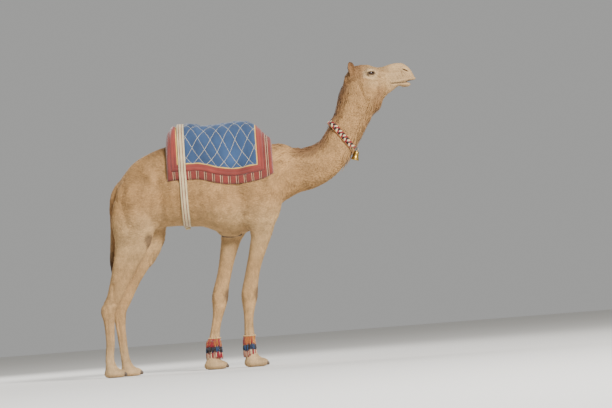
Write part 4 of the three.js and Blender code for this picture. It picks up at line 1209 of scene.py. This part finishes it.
edge = remap(cornea, from_slot.outputs["Value"], (0.88, 1.1), (0.0, 1.0))
fibres = remap(cornea, noise(cornea, place, 900.0, 3.0), CLOUDS, (0.6, 1.5))
iris = scaled(cornea, rings, fibres)
join(cornea, mixed(cornea, edge, "#050303", iris), shader.inputs["Base Color"])

# %% Two eyeballs that bulge at the cornea
def ball(across, down):
    """Points of a unit ball with its poles on Z, and its quads."""
    theta = np.linspace(0.001, math.pi - 0.001, down)[:, None]
    phi = circle(across)[None, :]
    points = np.stack(np.broadcast_arrays(np.sin(theta) * np.cos(phi), np.sin(theta) * np.sin(phi),
                                          np.cos(theta)), -1).reshape(-1, 3)
    return points, ring_quads(down, across)


for name, side in (("right", -1), ("left", 1)):
    points, quads = ball(48, 32)
    bulge = 1 + 0.07 * ramp(points[:, 2], 0.74, 0.95)
    eye = mesh_object(f"eyeball_{name}", points * bulge[:, None] * EYE_RADIUS, quads, cornea)
    gaze = Vector((0.30, side, -0.04)).normalized()
    forward = Vector((0, 0, 1)).cross(gaze).normalized()
    turn = Matrix((forward, gaze.cross(forward), gaze)).transposed()
    eye.matrix_world = Matrix.Translation(Vector((EYE[0], side * EYE[1], EYE[2])) * MM) @ turn.to_4x4()
    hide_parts(f"eye_{name}")

# %% Lashes: long and dark, against sand
lash_dark, _ = new_material("dark_lash", Base_Color=linear("#241710"), Roughness=0.5)
# Turns round the eye in degrees, length and droop of the upper and the lower row.
LASH_ROWS = [(np.linspace(20, 160, 46), 17, 0.45), (np.linspace(205, 335, 24), 7, -0.2)]
LASH_LINE = (22.0, 12.0)      # half-length and half-height of the opening's edge
LASH_BALL = 24.5              # radius on which the roots stand
lid_cos, lid_sin = math.cos(math.radians(LID_TURN)), math.sin(math.radians(LID_TURN))
lash_paths = []
for side in (-1, 1):
    for turn_at, reach, down in LASH_ROWS:
        around = np.radians(turn_at + chance.normal(0, 1.5, len(turn_at)))
        along_lid, above = np.cos(around) * LASH_LINE[0], np.sin(around) * LASH_LINE[1]
        bulging = np.sqrt(np.maximum(LASH_BALL ** 2 - along_lid ** 2 * 0.95 - above ** 2, 4))
        root = np.stack([EYE[0] + 1 + along_lid * lid_cos - above * lid_sin * 0.3,
                         side * (EYE[1] + bulging), EYE[2] + above + along_lid * lid_sin], -1)
        away = unit(np.stack([0.5 * np.cos(around) + 0.1, np.full(len(around), side * 1.0),
                              0.55 * np.sin(around)], -1))
        length = reach * chance.uniform(0.75, 1.2, len(around))[:, None, None]
        share = np.linspace(0, 1, 5)[None, :, None]
        path = root[:, None] + away[:, None] * length * share
        path[:, :, 2:] -= down * length * share ** 2
        lash_paths.append(path)
lashes = tubes("lashes", np.concatenate(lash_paths), np.array([0.55, 0.5, 0.4, 0.28, 0.05])[None],
               np.array([0.45, 0.4, 0.3, 0.2, 0.04])[None], (1.0, 0.0, 0.0), lash_dark, sides=4)
print("eyes and", len(lashes.data.polygons), "lash faces")

# %% Horn: dull brown-grey keratin, ridged where it grew
horn, shader = new_material("toe_horn", Roughness=0.42, IOR=1.54)
place = own_place(horn)
layers = add_node(horn, "ShaderNodeTexWave", {"Vector": place}, {"bands_direction": "Z"},
                  Scale=170.0, Distortion=3.0, Detail=2.0).outputs["Fac"]
surface(horn, shader, mixed(horn, layers, "#3B2D22", "#6E5A46"), layers, 0.5, 0.0006)

NAIL_TILT = 0.42              # radians

for name, (centre, radii) in FEET.items():
    outer = 1 if centre[1] > 0 else -1
    for place_name, side in (("inner", -outer), ("outer", outer)):
        points, quads = ball(28, 18)
        x, y, z = points.T
        point_down = 1 - 0.28 * ramp(-z, -0.2, 1.0)
        shaped = np.stack([x * 19 * (1 + 0.22 * ramp(-z, -0.3, 0.7)) + 2, y * 14 * point_down, z * 16], -1)
        shaped[:, 1] += side * 2.5 * ramp(x, 0, 1)
        at = np.array([centre[0] + radii[0] - 14, centre[1] + side * 27, 27.0])
        nail = mesh_object(f"nail_{name}_{place_name}", leaned(shaped, NAIL_TILT) + at, quads, horn)
        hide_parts(f"{name}_nail_{place_name}")

# %% [markdown]
# The horny pad under the chest carries the camel when it kneels. It is thick
# bare skin, cracked like dry clay, so its cells come from a Voronoi pattern.

# %% Chest pad
callus, shader = new_material("cracked_callus", Roughness=0.8)
place = own_place(callus)
cells = add_node(callus, "ShaderNodeTexVoronoi", {"Vector": place}, {"feature": "DISTANCE_TO_EDGE"},
                 Scale=110.0)
tint = remap(callus, cells.outputs["Distance"], (0.0, 0.25), (0.35, 1.0))
base = add_node(callus, "ShaderNodeVectorMath", {"Scale": tint}, {"operation": "SCALE"},
                i0=linear("#5C4A3A")[:3])
surface(callus, shader, base.outputs[0], tint, 0.8, 0.002)
low, high = (np.array(corner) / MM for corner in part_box("brisket_pad"))
points, quads = ball(56, 28)
half = (high - low) / 2
shaped = points * (half[0] + 1, half[1] + 1, 19.0) + ((low[0] + high[0]) / 2, 0, low[2] + 18)
shaped[:, 2] += 0.8 * waves(shaped, 22, 31)
chest_pad = mesh_object("chest_pad", shaped, quads, callus)
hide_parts("brisket_pad")
print("nails and chest pad made")

# %% [markdown]
# ## Saddle pad and quilt
# Under the rider's place lies a thick stuffed pad of striped cotton canvas, sewn into
# channels so that the straw stays in place, and over it a wadded quilt. Both are
# grown from rays: for each place along the back and each angle round it, a
# ray finds the coat, and the cloth lies that far out plus its own thickness.

# %% Rays from the middle of the trunk to the coat
TOPLINE = [
    (-752, 1962), (-728, 2032), (-700, 2066), (-680, 2090), (-655, 2084), (-610, 2088),
    (-550, 2106), (-480, 2093), (-440, 2078), (-400, 2075), (-280, 2082), (-130, 2092),
    (-80, 2089), (-40, 2080), (0, 2063), (40, 2030), (80, 1985), (120, 1944), (150, 1926)]
QUILT_REAR, QUILT_FRONT = -712, 75
QUILT_THICK = 16


def ray_way(angle):
    """Direction of a ray, by degrees from the ridge, positive to the left."""
    turn = np.radians(angle)
    return np.stack([np.zeros_like(turn), np.sin(turn), np.cos(turn)], -1)


def ray_start(x):
    return np.stack([x, np.zeros_like(x), trunk_middle(x)], -1)


def ray_length(start, way, longest, halvings):
    """Distance along each ray, from a start in the body to the outline of the coat."""
    inside = np.zeros(way.shape[:-1])
    outside = np.full(inside.shape, longest)
    for _ in range(halvings):
        middle = (inside + outside) / 2
        spots = start + way * middle[..., None]
        within = outline(spots.reshape(-1, 3)).reshape(middle.shape) < 0
        inside, outside = np.where(within, middle, inside), np.where(within, outside, middle)
    return inside


def coat_reach(x, angle):
    """Distance to the coat from the middle of the trunk."""
    return ray_length(ray_start(x), ray_way(angle), 600.0, 15)


def ray_grid(xs, angles):
    """Grids over the back: x, angle, distance to the coat, and the spots on it."""
    grid_x, grid_angle = np.meshgrid(xs, angles, indexing="ij")
    reach = coat_reach(grid_x, grid_angle)
    return grid_x, grid_angle, reach, ray_start(grid_x) + ray_way(grid_angle) * reach[..., None]


def rolled(to_edge, radius):
    """A rolled edge: 0 at the edge of the cloth, 1 from `radius` inwards."""
    share = np.clip(to_edge / radius, 0, 1)
    return np.sqrt(share * (2 - share))


def pad_height(x, angle):
    """How high the finished top of the pad is above the coat."""
    share = np.abs(angle) / HEM_ANGLE
    ridge = ray_start(x)[..., 2] + coat_reach(x[:, :1], np.zeros_like(x[:, :1]))
    top = np.maximum(along(TOPLINE, 1, x) - ridge, 14)
    close_end = np.minimum(np.minimum((x - PAD_REAR + 9) / 34, (PAD_FRONT + 14 - x) / 42), 1)
    side = 50 * np.sqrt(np.maximum(close_end * (2 - close_end), 0.05))
    height = top + (side - top) * ramp(share, 0.1, 0.6)
    return height + (18 - height) * np.clip((share - 0.8) / 0.2, 0, 1)


def grid_solid(name, outer, inner, material, flat):
    """A closed thick sheet between two grids of points. `flat` is its cloth pattern.

    The grids run from the tail forwards, and turned round their faces look outwards."""
    outer, inner, flat = outer[::-1], inner[::-1], flat[::-1]
    rows, columns = outer.shape[:2]
    points = np.concatenate([outer.reshape(-1, 3), inner.reshape(-1, 3)])
    number = np.arange(rows * columns).reshape(rows, columns)
    a, b, c, d = number[:-1, :-1], number[1:, :-1], number[1:, 1:], number[:-1, 1:]
    top = np.stack([a, b, c, d], -1).reshape(-1, 4)
    under = top[:, ::-1] + rows * columns
    rim = np.concatenate([number[0, ::-1], number[1:, 0], number[-1, 1:], number[-2:0:-1, -1]])
    following = np.roll(rim, -1)
    wall = np.stack([rim, rim + rows * columns, following + rows * columns, following], -1)
    obj = mesh_object(name, points, np.r_[top, under, wall], material)
    set_pattern(obj.data, np.concatenate([flat.reshape(-1, 3)] * 2))
    print(f"{name}: {len(obj.data.polygons)} faces")
    return obj


# %% Striped canvas
# Plain-woven cotton of stout yarn, dyed madder red, with narrow dark and cream
# stripes across the pad. The weave is drawn 3 mm wide, three times the real one.
def woven(name, stripes, repeat, yarn):
    """Cloth whose stripes come again every `repeat` mm, in a plain weave of `yarn` mm."""
    material, shader = new_material(name, Roughness=0.9, Sheen_Weight=0.3, Sheen_Roughness=0.5)
    flat = stored(material, "flat").outputs["Vector"]
    parts = add_node(material, "ShaderNodeSeparateXYZ", {0: flat}).outputs
    turns = [reckon(material, "MULTIPLY", parts[k], 2 * math.pi * 1000 / yarn) for k in (0, 1)]
    weave = reckon(material, "MULTIPLY", *(reckon(material, "SINE", turn) for turn in turns))
    in_stripe = reckon(material, "FRACT", reckon(material, "MULTIPLY", parts[0], 1000 / repeat))
    bands = banded(material, in_stripe, stripes, "CONSTANT")
    worn = remap(material, noise(material, flat, 9.0, 4.0), CLOUDS, (0.78, 1.15))
    thread = remap(material, weave, (-1.0, 1.0), (0.82, 1.1))
    tinted = scaled(material, bands, reckon(material, "MULTIPLY", worn, thread))
    surface(material, shader, tinted, weave, 0.5, yarn * 0.3 * MM)
    return material


MADDER, CREAM_COTTON, BLACK_COTTON = "#7E2F25", "#C9B184", "#2B2320"
canvas = woven("madder_striped_canvas", [
    (0, MADDER), (0.42, CREAM_COTTON), (0.47, MADDER), (0.53, BLACK_COTTON), (0.60, MADDER),
    (0.66, CREAM_COTTON), (0.71, MADDER)], 66, 3.0)

# %% The pad, stuffed between its channels
CHANNEL = 66.0                # millimetres from seam to seam
MM_PER_DEGREE = 5.2           # round the body at the hem, about 300 from the rays' start
xs = np.linspace(PAD_REAR + 2, PAD_FRONT - 2, 170)
angles = np.linspace(-HEM_ANGLE, HEM_ANGLE, 91)
grid_x, grid_angle, reach, spots = ray_grid(xs, angles)
height = pad_height(grid_x, grid_angle)
under_quilt = ramp(grid_x, QUILT_REAR - 6, QUILT_REAR + 10)
under_quilt *= ramp(-grid_x, -QUILT_FRONT - 6, -QUILT_FRONT + 10) * ramp(-np.abs(grid_angle), -72, -66)
across_mm = np.radians(grid_angle) * (reach + 30)
in_channel = np.abs(((grid_x - PAD_REAR) / CHANNEL + 0.5) % 1 - 0.5) * CHANNEL
hem_share = np.abs(grid_angle) / HEM_ANGLE
seams = 9 * np.exp(-(in_channel / 7) ** 2) * ramp(hem_share, 0.35, 0.75)
pressed = 12 * np.exp(-((grid_x - GIRTH_X) / 34) ** 4) * ramp(hem_share, 0.2, 0.9)
to_hem = (HEM_ANGLE - np.abs(grid_angle)) * MM_PER_DEGREE
to_rim = np.minimum(np.minimum(grid_x - xs[0], xs[-1] - grid_x), to_hem)
soft = 3 * waves(spots.reshape(-1, 3), 150, 41).reshape(grid_x.shape)
stuffed = height - seams - pressed * 0.5 + soft * (1 - under_quilt)
outer_height = np.maximum(stuffed - (QUILT_THICK + 2) * under_quilt, 9)
outer_height = 3 + (outer_height - 3) * rolled(to_rim, 16)
outer = spots + ray_way(grid_angle) * outer_height[..., None]
inner = spots + ray_way(grid_angle) * 1.5
flat = np.stack([grid_x, across_mm, np.zeros_like(grid_x)], -1)
pad_outer, pad_angles = outer, angles
pad = grid_solid("stuffed_pad", outer, inner, canvas, flat)
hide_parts("saddle_pad")

# %% [markdown]
# The quilt is indigo cotton over wadding, with a madder border. Its stitch lines
# cross in diamonds, and the wadding swells between them. The mesh swells, and
# the thread itself is drawn by the material from the same cloth pattern.

# %% Quilted cotton
DIAMOND = 74.0                # millimetres between parallel stitch lines
STITCH = 8                    # millimetres from one stitch to the next
BORDER = 58.0                 # millimetres wide
quilted, shader = new_material("indigo_quilted_cotton", Roughness=0.88, Sheen_Weight=0.35,
                               Sheen_Roughness=0.5)
on_cloth = stored(quilted, "flat").outputs["Vector"]
along_x, across, from_edge = add_node(quilted, "ShaderNodeSeparateXYZ", {0: on_cloth}).outputs
lines = []
for sign in (1.0, -1.0):
    slanted = reckon(quilted, "MULTIPLY_ADD", across, sign, along_x)
    lines.append(reckon(quilted, "MULTIPLY", slanted, 1000 / (DIAMOND * math.sqrt(2))))
threads = []
for here, there in (lines, lines[::-1]):
    on_line = reckon(quilted, "LESS_THAN", reckon(quilted, "PINGPONG", here, 0.5), 0.016)
    stitches = reckon(quilted, "FRACT", reckon(quilted, "MULTIPLY", there, DIAMOND / STITCH))
    threads.append(reckon(quilted, "MULTIPLY", on_line, reckon(quilted, "LESS_THAN", stitches, 0.6)))
in_field = reckon(quilted, "GREATER_THAN", from_edge, BORDER * MM)
border_line = reckon(quilted, "COMPARE", from_edge, BORDER * MM, 0.004)
thread = reckon(quilted, "MULTIPLY", reckon(quilted, "MAXIMUM", *threads), in_field)
weft = noise(quilted, on_cloth, 420.0, 2.0)
worn = remap(quilted, noise(quilted, on_cloth, 7.0, 5.0), CLOUDS, (0.7, 1.3))
cloth = mixed(quilted, border_line, mixed(quilted, in_field, MADDER, "#2A4468"), "#C9A24A")
stitched = mixed(quilted, thread, scaled(quilted, cloth, worn), "#D8CBA8")
surface(quilted, shader, stitched, reckon(quilted, "ADD", weft, thread), 0.5, 0.8 * MM)

# %% The quilt, swelling between its stitches
QUILT_ANGLE = 68.0
xs = np.linspace(QUILT_REAR, QUILT_FRONT, 200)
angles = np.linspace(-QUILT_ANGLE, QUILT_ANGLE, 151)
grid_x, grid_angle, reach, spots = ray_grid(xs, angles)
height = pad_height(grid_x, grid_angle)
middle_reach = reach.mean(axis=0, keepdims=True) + 60
across_mm = np.radians(grid_angle) * middle_reach
first = (grid_x + across_mm) / (DIAMOND * math.sqrt(2))
second = (grid_x - across_mm) / (DIAMOND * math.sqrt(2))
swell = np.abs(np.sin(math.pi * first) * np.sin(math.pi * second))
half_arc = np.abs(across_mm).max(axis=1, keepdims=True)
to_edge = np.minimum(np.minimum(grid_x - QUILT_REAR, QUILT_FRONT - grid_x), half_arc - np.abs(across_mm))
border_swell = np.abs(np.sin(math.pi * np.clip(to_edge, 0, BORDER) / (BORDER / 2)))
puff = np.where(to_edge > BORDER, swell, border_swell) ** 0.45
droop = 5 * waves(spots.reshape(-1, 3), 210, 43).reshape(grid_x.shape) * ramp(np.abs(grid_angle), 20, 60)
pressed = 9 * np.exp(-((grid_x - GIRTH_X) / 36) ** 4)
base = height - QUILT_THICK
thickness = (QUILT_THICK - 7 + 9 * puff) * rolled(to_edge, 9)
top = base + thickness + droop - pressed * ramp(np.abs(grid_angle), 10, 50)
outer = spots + ray_way(grid_angle) * top[..., None]
inner = spots + ray_way(grid_angle) * (base - 3 + np.minimum(droop - pressed, 0))[..., None]
flat = np.stack([grid_x, across_mm, to_edge], -1)
quilt_outer, quilt_angles = outer, angles
quilt = grid_solid("wadded_quilt", outer, inner, quilted, flat)
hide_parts("saddle_quilt")

# %% [markdown]
# ## Girth, neck band, bell and anklets
# The girth is flat cotton webbing that holds the saddle down: it presses a
# groove across the quilt, runs down both sides and is tied under the belly.
# Yarn, cord and strap are all tubes with an oval section, so one helper makes
# them, and their cloth pattern runs across and along each tube.

# %% Webbing that follows the pad, the quilt and the belly
webbing = woven("cotton_webbing", [(0, "#CDB98D"), (0.16, "#7A2B22"), (0.25, "#CDB98D"), (0.75, "#7A2B22"),
                                   (0.84, "#CDB98D")], GIRTH_WIDTH, 2.4)


def thick_edge(grid_points):
    """The furthest that a cloth stands out of the girth's middle, by angle from the ridge."""
    beside = np.abs(grid_points[:, 0, 0] - GIRTH_X) < GIRTH_WIDTH / 2 + 2
    start = ray_start(grid_points[beside][..., 0])
    return np.linalg.norm(grid_points[beside] - start, axis=-1).max(axis=0)


pad_edge = thick_edge(pad_outer)
quilt_edge = thick_edge(quilt_outer)
angle = np.arange(0, 360, 2.0)
signed = (angle + 180) % 360 - 180
at_girth = np.full(angle.shape, float(GIRTH_X))
belly = coat_reach(at_girth, signed) + 3.5
over_pad = np.interp(signed, pad_angles, pad_edge, left=0, right=0)
over_quilt = np.interp(signed, quilt_angles, quilt_edge, left=0, right=0)
radius = np.maximum(belly, np.maximum(over_pad, over_quilt) + 2.0)
for _ in range(3):
    radius = np.maximum(radius, (np.roll(radius, 1) + np.roll(radius, -1)) / 2)
strap_path = ray_start(at_girth) + ray_way(signed) * radius[:, None]
girth = tubes("webbing_girth", strap_path[None], GIRTH_WIDTH / 2, 2.2, (1.0, 0.0, 0.0), webbing,
              sides=10, closed=True)
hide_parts("girth")

# %% The knot under the belly
low, high = (np.array(corner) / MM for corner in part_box("girth_knot"))
middle, half = (low + high) / 2, (high - low) / 2
t = circle(96)
foil_x = (np.sin(t) + 2 * np.sin(2 * t)) / 3
foil_y = (np.cos(t) - 2 * np.cos(2 * t)) / 3
knot = np.stack([foil_x * (half[0] - 2), foil_y * (half[1] - 2), -3.5 * np.sin(3 * t)], -1) + middle
knot_band = tubes("girth_knot_band", knot[None], 9.0, 2.6, (0.0, 0.0, 1.0), webbing, sides=8, closed=True)
share = np.linspace(0, 1, 14)
ends = []
for way in (-1, 1):
    from_ridge = 180 - way * (2 + 9 * share)
    outward = np.interp(from_ridge, angle, radius) + 5.5
    end_path = ray_start(np.full(share.shape, float(GIRTH_X))) + ray_way(from_ridge) * outward[:, None]
    end_path[:, 0] += way * 16 * share
    ends.append(end_path)
knot_ends = tubes("girth_knot_ends", np.stack(ends), 13.0 * (1 - 0.12 * share)[None], 1.8, (1.0, 0.0, 0.2),
                  webbing, sides=8)
for piece in (knot_band, knot_ends):
    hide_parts("girth_knot")

# %% [markdown]
# The neck band is a wide flat braid of three strands of hand-spun wool between
# two edge cords, on a dark felt strap. The strands swap sides by a sine, and
# rise over each other at twice that rate.

# %% Wool yarn and the braid
yarn = streaked("hand_spun_wool", 0.88, 0.5, 1.5, 0.5)
RED, DARK_WOOL, CREAM, OCHRE, BLUE = linear_rgb("#86222B", "#2B201C", "#CDBB92", "#B98232", "#27456B")
COLLAR_UP = np.array([-0.595, 0, 0.803])
SWINGS, TWISTS = 13, 60       # of the braid's strands and of the edge cords, once round the neck
turns = circle(360)
ways = np.outer(np.cos(turns), (0, 1, 0)) + np.outer(np.sin(turns), COLLAR_UP)
band_radius = ray_length(COLLAR_AT, ways, 300.0, 14)


def round_neck(height, offset):
    """A closed path round the neck: `height` above the coat, `offset` along the neck."""
    return COLLAR_AT + ways * (band_radius + height)[:, None] + np.multiply.outer(offset, COLLAR_ALONG)


flat_offset = np.zeros(len(turns))
felt = tubes("band_felt", round_neck(-3.0, flat_offset)[None], 26.0, 2.0, COLLAR_ALONG, yarn, 10, True,
             [DARK_WOOL])
strands = []
for k in range(3):
    phase = SWINGS * turns + k * 2 * math.pi / 3
    strands.append(round_neck(0.5 + 2.6 * np.sin(2 * phase), 13.5 * np.sin(phase)))
braid = tubes("band_braid", np.stack(strands), 9.5, 4.6, COLLAR_ALONG, yarn, 8, True, [RED, CREAM, DARK_WOOL])
cords = []
for edge_at in (-25.0, 25.0):
    for k in range(2):
        phase = TWISTS * turns + k * math.pi
        cords.append(round_neck(0.5 + 1.5 * np.sin(phase), edge_at + 1.5 * np.cos(phase)))
edging = tubes("band_edging", np.stack(cords), 2.1, 2.1, COLLAR_ALONG, yarn, 5, True,
               [RED, OCHRE, RED, OCHRE])
for piece in (felt, braid, edging):
    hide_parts("neck_band")

# %% [markdown]
# The bell is cast brass: a cup with two raised beads, a thick lip and a dull,
# slightly pitted skin that has gone brown in the hollows. It hangs by a ring
# from a thong round the band and leans on the throat.

# %% Cast brass
brass, shader = new_material("cast_brass_tarnished", Metallic=1.0)
place = own_place(brass)
stain = noise(brass, place, 45.0, 5.0)
patina = remap(brass, stain, (0.42, 0.68), (0.0, 0.85))
pits = noise(brass, place, 420.0, 4.0)
surface(brass, shader, mixed(brass, patina, "#C9A24E", "#5A4325"), pits, 0.35, 0.0006)
join(brass, remap(brass, stain, CLOUDS, (0.28, 0.55)), shader.inputs["Roughness"])

BELL_AT, BELL_LEAN = np.array([866, 0, 1757.0]), math.radians(18)


def hang(points):
    """Leans points of the bell and moves them to its place."""
    return leaned(points, BELL_LEAN) + BELL_AT


def turned(name, profile, node, sides=56):
    """A body turned about its axis, from (radius, level) rows."""
    profile = np.array(profile, float)
    spin = circle(sides)
    points = np.stack([np.outer(profile[:, 0], np.cos(spin)), np.outer(profile[:, 0], np.sin(spin)),
                       np.repeat(profile[:, 1:], sides, axis=1)], -1).reshape(-1, 3)
    obj = mesh_object(name, hang(points), ring_quads(len(profile), sides), brass)
    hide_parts(node)


turned("bell_cup", [
    (0.1, 0), (8, -0.6), (14, -2), (18, -4.6), (20, -8.5), (21, -14), (21.6, -18.5), (23.4, -20), (23.8, -22),
    (22.6, -24), (22.8, -30), (24, -38), (26, -47), (28.4, -55), (30.2, -59), (32, -60.4), (32.4, -62.4),
    (31.6, -64), (33.4, -70), (35, -74), (34.8, -76), (32.6, -76.2), (31.2, -73), (28.4, -62), (24.6, -50),
    (21, -36), (19, -22), (17, -12), (10, -7.4), (0.1, -6.4)], "bell")
turned("bell_tongue", [(0.1, -6.6), (1.9, -7), (1.9, -48), (4, -51), (7, -54.5), (8, -58.5), (7, -62.5),
                       (4, -65), (0.1, -65.6)], "bell_clapper", 20)
spin = circle(40)
ring_path = hang(np.stack([9 * np.cos(spin), np.zeros(40), 11.5 + 9 * np.sin(spin)], -1))
bell_ring = tubes("bell_hanger", ring_path[None], 2.0, 2.0, (0.0, 1.0, 0.0), brass, 8, True)
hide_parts("bell_ring")

# %% The thong that ties the bell to the band
throat = int(np.argmin(ways[:, 2]))
out_way = ways[throat]
band_middle = COLLAR_AT + out_way * (band_radius[throat] + 2)
ring_middle = hang(np.array([[0, 0, 13.0]]))[0]
corners = [(-29, -8), (-20, -10), (20, -10), (29, -8), (31, 2), (26, 9), (8, 10)]
loop = [band_middle + COLLAR_ALONG * a + out_way * b for a, b in corners] + [ring_middle]
loop += [band_middle + COLLAR_ALONG * a + out_way * b for a, b in ((-10, 10), (-26, 9), (-31, 2))]
loop = np.array(loop + loop[:1])
loops = []
for side in (-1, 1):
    sideways = 6.0 * side * ramp(np.linalg.norm(loop - ring_middle, axis=1), 3, 22) + 1.3 * side
    path = resample(np.c_[loop[:, 0], sideways, loop[:, 2]], 5)
    loops.append(path[np.linspace(0, len(path) - 1.001, 60).astype(int)])
thong = tubes("bell_thong", np.stack(loops), 2.0, 1.6, (0.0, 1.0, 0.0), yarn, 6, False,
              [DARK_WOOL, DARK_WOOL])
print("band, bell and thong made")

# %% [markdown]
# The anklets are cuffs of wool fringe in three tiers. The top tier hangs from
# two twisted cords, and the others start under the tier above. Every strand is
# modelled, with its own length and sway, so the outline is ragged.

# %% Three tiers of fringe on each front ankle
# Height of each tier's top and bottom, and its wools.
TIERS = [(268, 190, (RED, RED, OCHRE)),
         (222, 142, (DARK_WOOL, BLUE, DARK_WOOL)),
         (174, 90, (RED, RED, CREAM))]
CUFF = [(92, 0.97), (150, 1.0), (268, 0.84)]      # height, and how wide the cuff is there
STRANDS = 150                 # in each tier
CORD_TWISTS = 22              # of the two cords, once round the ankle
YARN_WIDE = 2.5
TOP_GAP, UNDER_GAP = 3, -4    # from shin to strand: the lower tiers start under the one above
for name, (cx, cy, half_deep, half_wide) in ANKLETS.items():
    paths, wool_colours, cord_paths = [], [], []
    leg = np.array(leg_rows(name))
    for top, bottom, wools in TIERS:
        shin_x, shin_y, *shin = (np.interp(top, leg[:, 2], leg[:, k]) for k in (0, 1, 3, 4))
        around = (np.arange(STRANDS) + chance.uniform(-0.4, 0.4, STRANDS)) / STRANDS * 2 * math.pi
        layer = chance.uniform(0, 1, STRANDS)
        drop = (top - bottom) * chance.uniform(0.82, 1.06, STRANDS)
        share = np.linspace(0, 1, 7)[None, :]
        z = top - drop[:, None] * share
        full = np.interp(z, *np.transpose(CUFF))
        flare = ramp(share * np.ones((STRANDS, 1)), -0.1, 0.55)
        place = np.c_[around * 60, np.full(STRANDS, top), np.zeros(STRANDS)]
        sway = 0.05 * waves(place, 90, 51)[:, None] * share
        sway = sway + chance.normal(0, 0.035, STRANDS)[:, None] * share ** 2
        c, s = np.cos(around[:, None] + sway), np.sin(around[:, None] + sway)
        inset = 3 + 5 * layer[:, None]
        start = np.array(shin) + (TOP_GAP if top == TIERS[0][0] else UNDER_GAP)
        radius_x = start[0] + ((half_deep * full - inset) - start[0]) * flare
        radius_y = start[1] + ((half_wide * full - inset) - start[1]) * flare
        x = shin_x + (cx - shin_x) * flare + radius_x * c
        y = shin_y + (cy - shin_y) * flare + radius_y * s
        paths.append(np.stack([x, y, z], -1))
        wool = np.array(wools)[chance.integers(0, 3, STRANDS)]
        wool_colours.append(wool * chance.uniform(0.75, 1.2, (STRANDS, 1)))
        if top != TIERS[0][0]:
            continue
        loop = circle(180)
        for k in range(2):
            phase = CORD_TWISTS * loop + k * math.pi
            gap = 5.5 + 2.0 * np.sin(phase)
            cord_paths.append(np.stack([(shin[0] + gap) * np.cos(loop) + shin_x,
                                        (shin[1] + gap) * np.sin(loop) + shin_y,
                                        top - 2 + 3.0 * np.cos(phase)], -1))
    taper = YARN_WIDE * np.array([0.8, 1, 1, 1.05, 1.1, 1.1, 0.7])[None]
    fringe = tubes(f"fringe_{name}", np.concatenate(paths), taper, taper, (0.3, 0.2, 1.0), yarn, 6, False,
                   np.concatenate(wool_colours))
    cord = tubes(f"ankle_cords_{name}", np.stack(cord_paths), 3.0, 3.0, (0.0, 0.0, 1.0), yarn, 6, True,
                 [CREAM, OCHRE])
    for piece in (fringe, cord):
        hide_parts("anklet_right" if name.endswith("right") else "anklet_left")
    print(f"{name}: {len(np.concatenate(paths))} strands")

# %% [markdown]
# ## Floor, light and a last look at the size
# A pale seamless floor, one large soft light high on the camel's right, ahead
# of it, a weaker one behind it to draw the outline of the coat, and an even sky.

# %% Studio
floor_finish, _ = new_material("pale_studio_floor", Base_Color=linear("#E4E1DB"), Roughness=0.85)
floor_mesh = bpy.data.meshes.new("floor")
FLOOR_REACH = 60.0            # metres, so that its edge is lost in the distance
turn = circle(96)
rim = np.c_[np.cos(turn), np.sin(turn), np.zeros(96)] * FLOOR_REACH
floor_mesh.from_pydata(rim.tolist(), [], [list(range(len(rim)))])
floor = bpy.data.objects.new("floor", floor_mesh)
floor_mesh.materials.append(floor_finish)
bpy.context.scene.collection.objects.link(floor)

world = bpy.data.worlds.new("even_sky")
bpy.context.scene.world = world
world.use_nodes = True
sky = world.node_tree.nodes["Background"].inputs
sky["Color"].default_value = linear("#E3E3E1")
sky["Strength"].default_value = 0.5


def soft_light(name, place, aim, size, watts):
    """A square light that looks at a place."""
    lamp = bpy.data.lights.new(name, "AREA")
    lamp.size = size
    lamp.energy = watts
    light = bpy.data.objects.new(name, lamp)
    light.location = place
    light.rotation_euler = (Vector(aim) - Vector(place)).to_track_quat("-Z", "Y").to_euler()
    bpy.context.scene.collection.objects.link(light)


soft_light("key", (9.0, -17.0, 13.0), (0, 0, 1.3), 6.0, 9000)
soft_light("rim", (-4.0, 5.5, 5.0), (0, 0, 1.4), 3.0, 450)

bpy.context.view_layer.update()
meshes = [obj.data for obj in bpy.data.objects if obj.type == "MESH" and not obj.hide_render]
print("triangles:", sum(len(loop_mesh.loops) - 2 * len(loop_mesh.polygons) for loop_mesh in meshes))
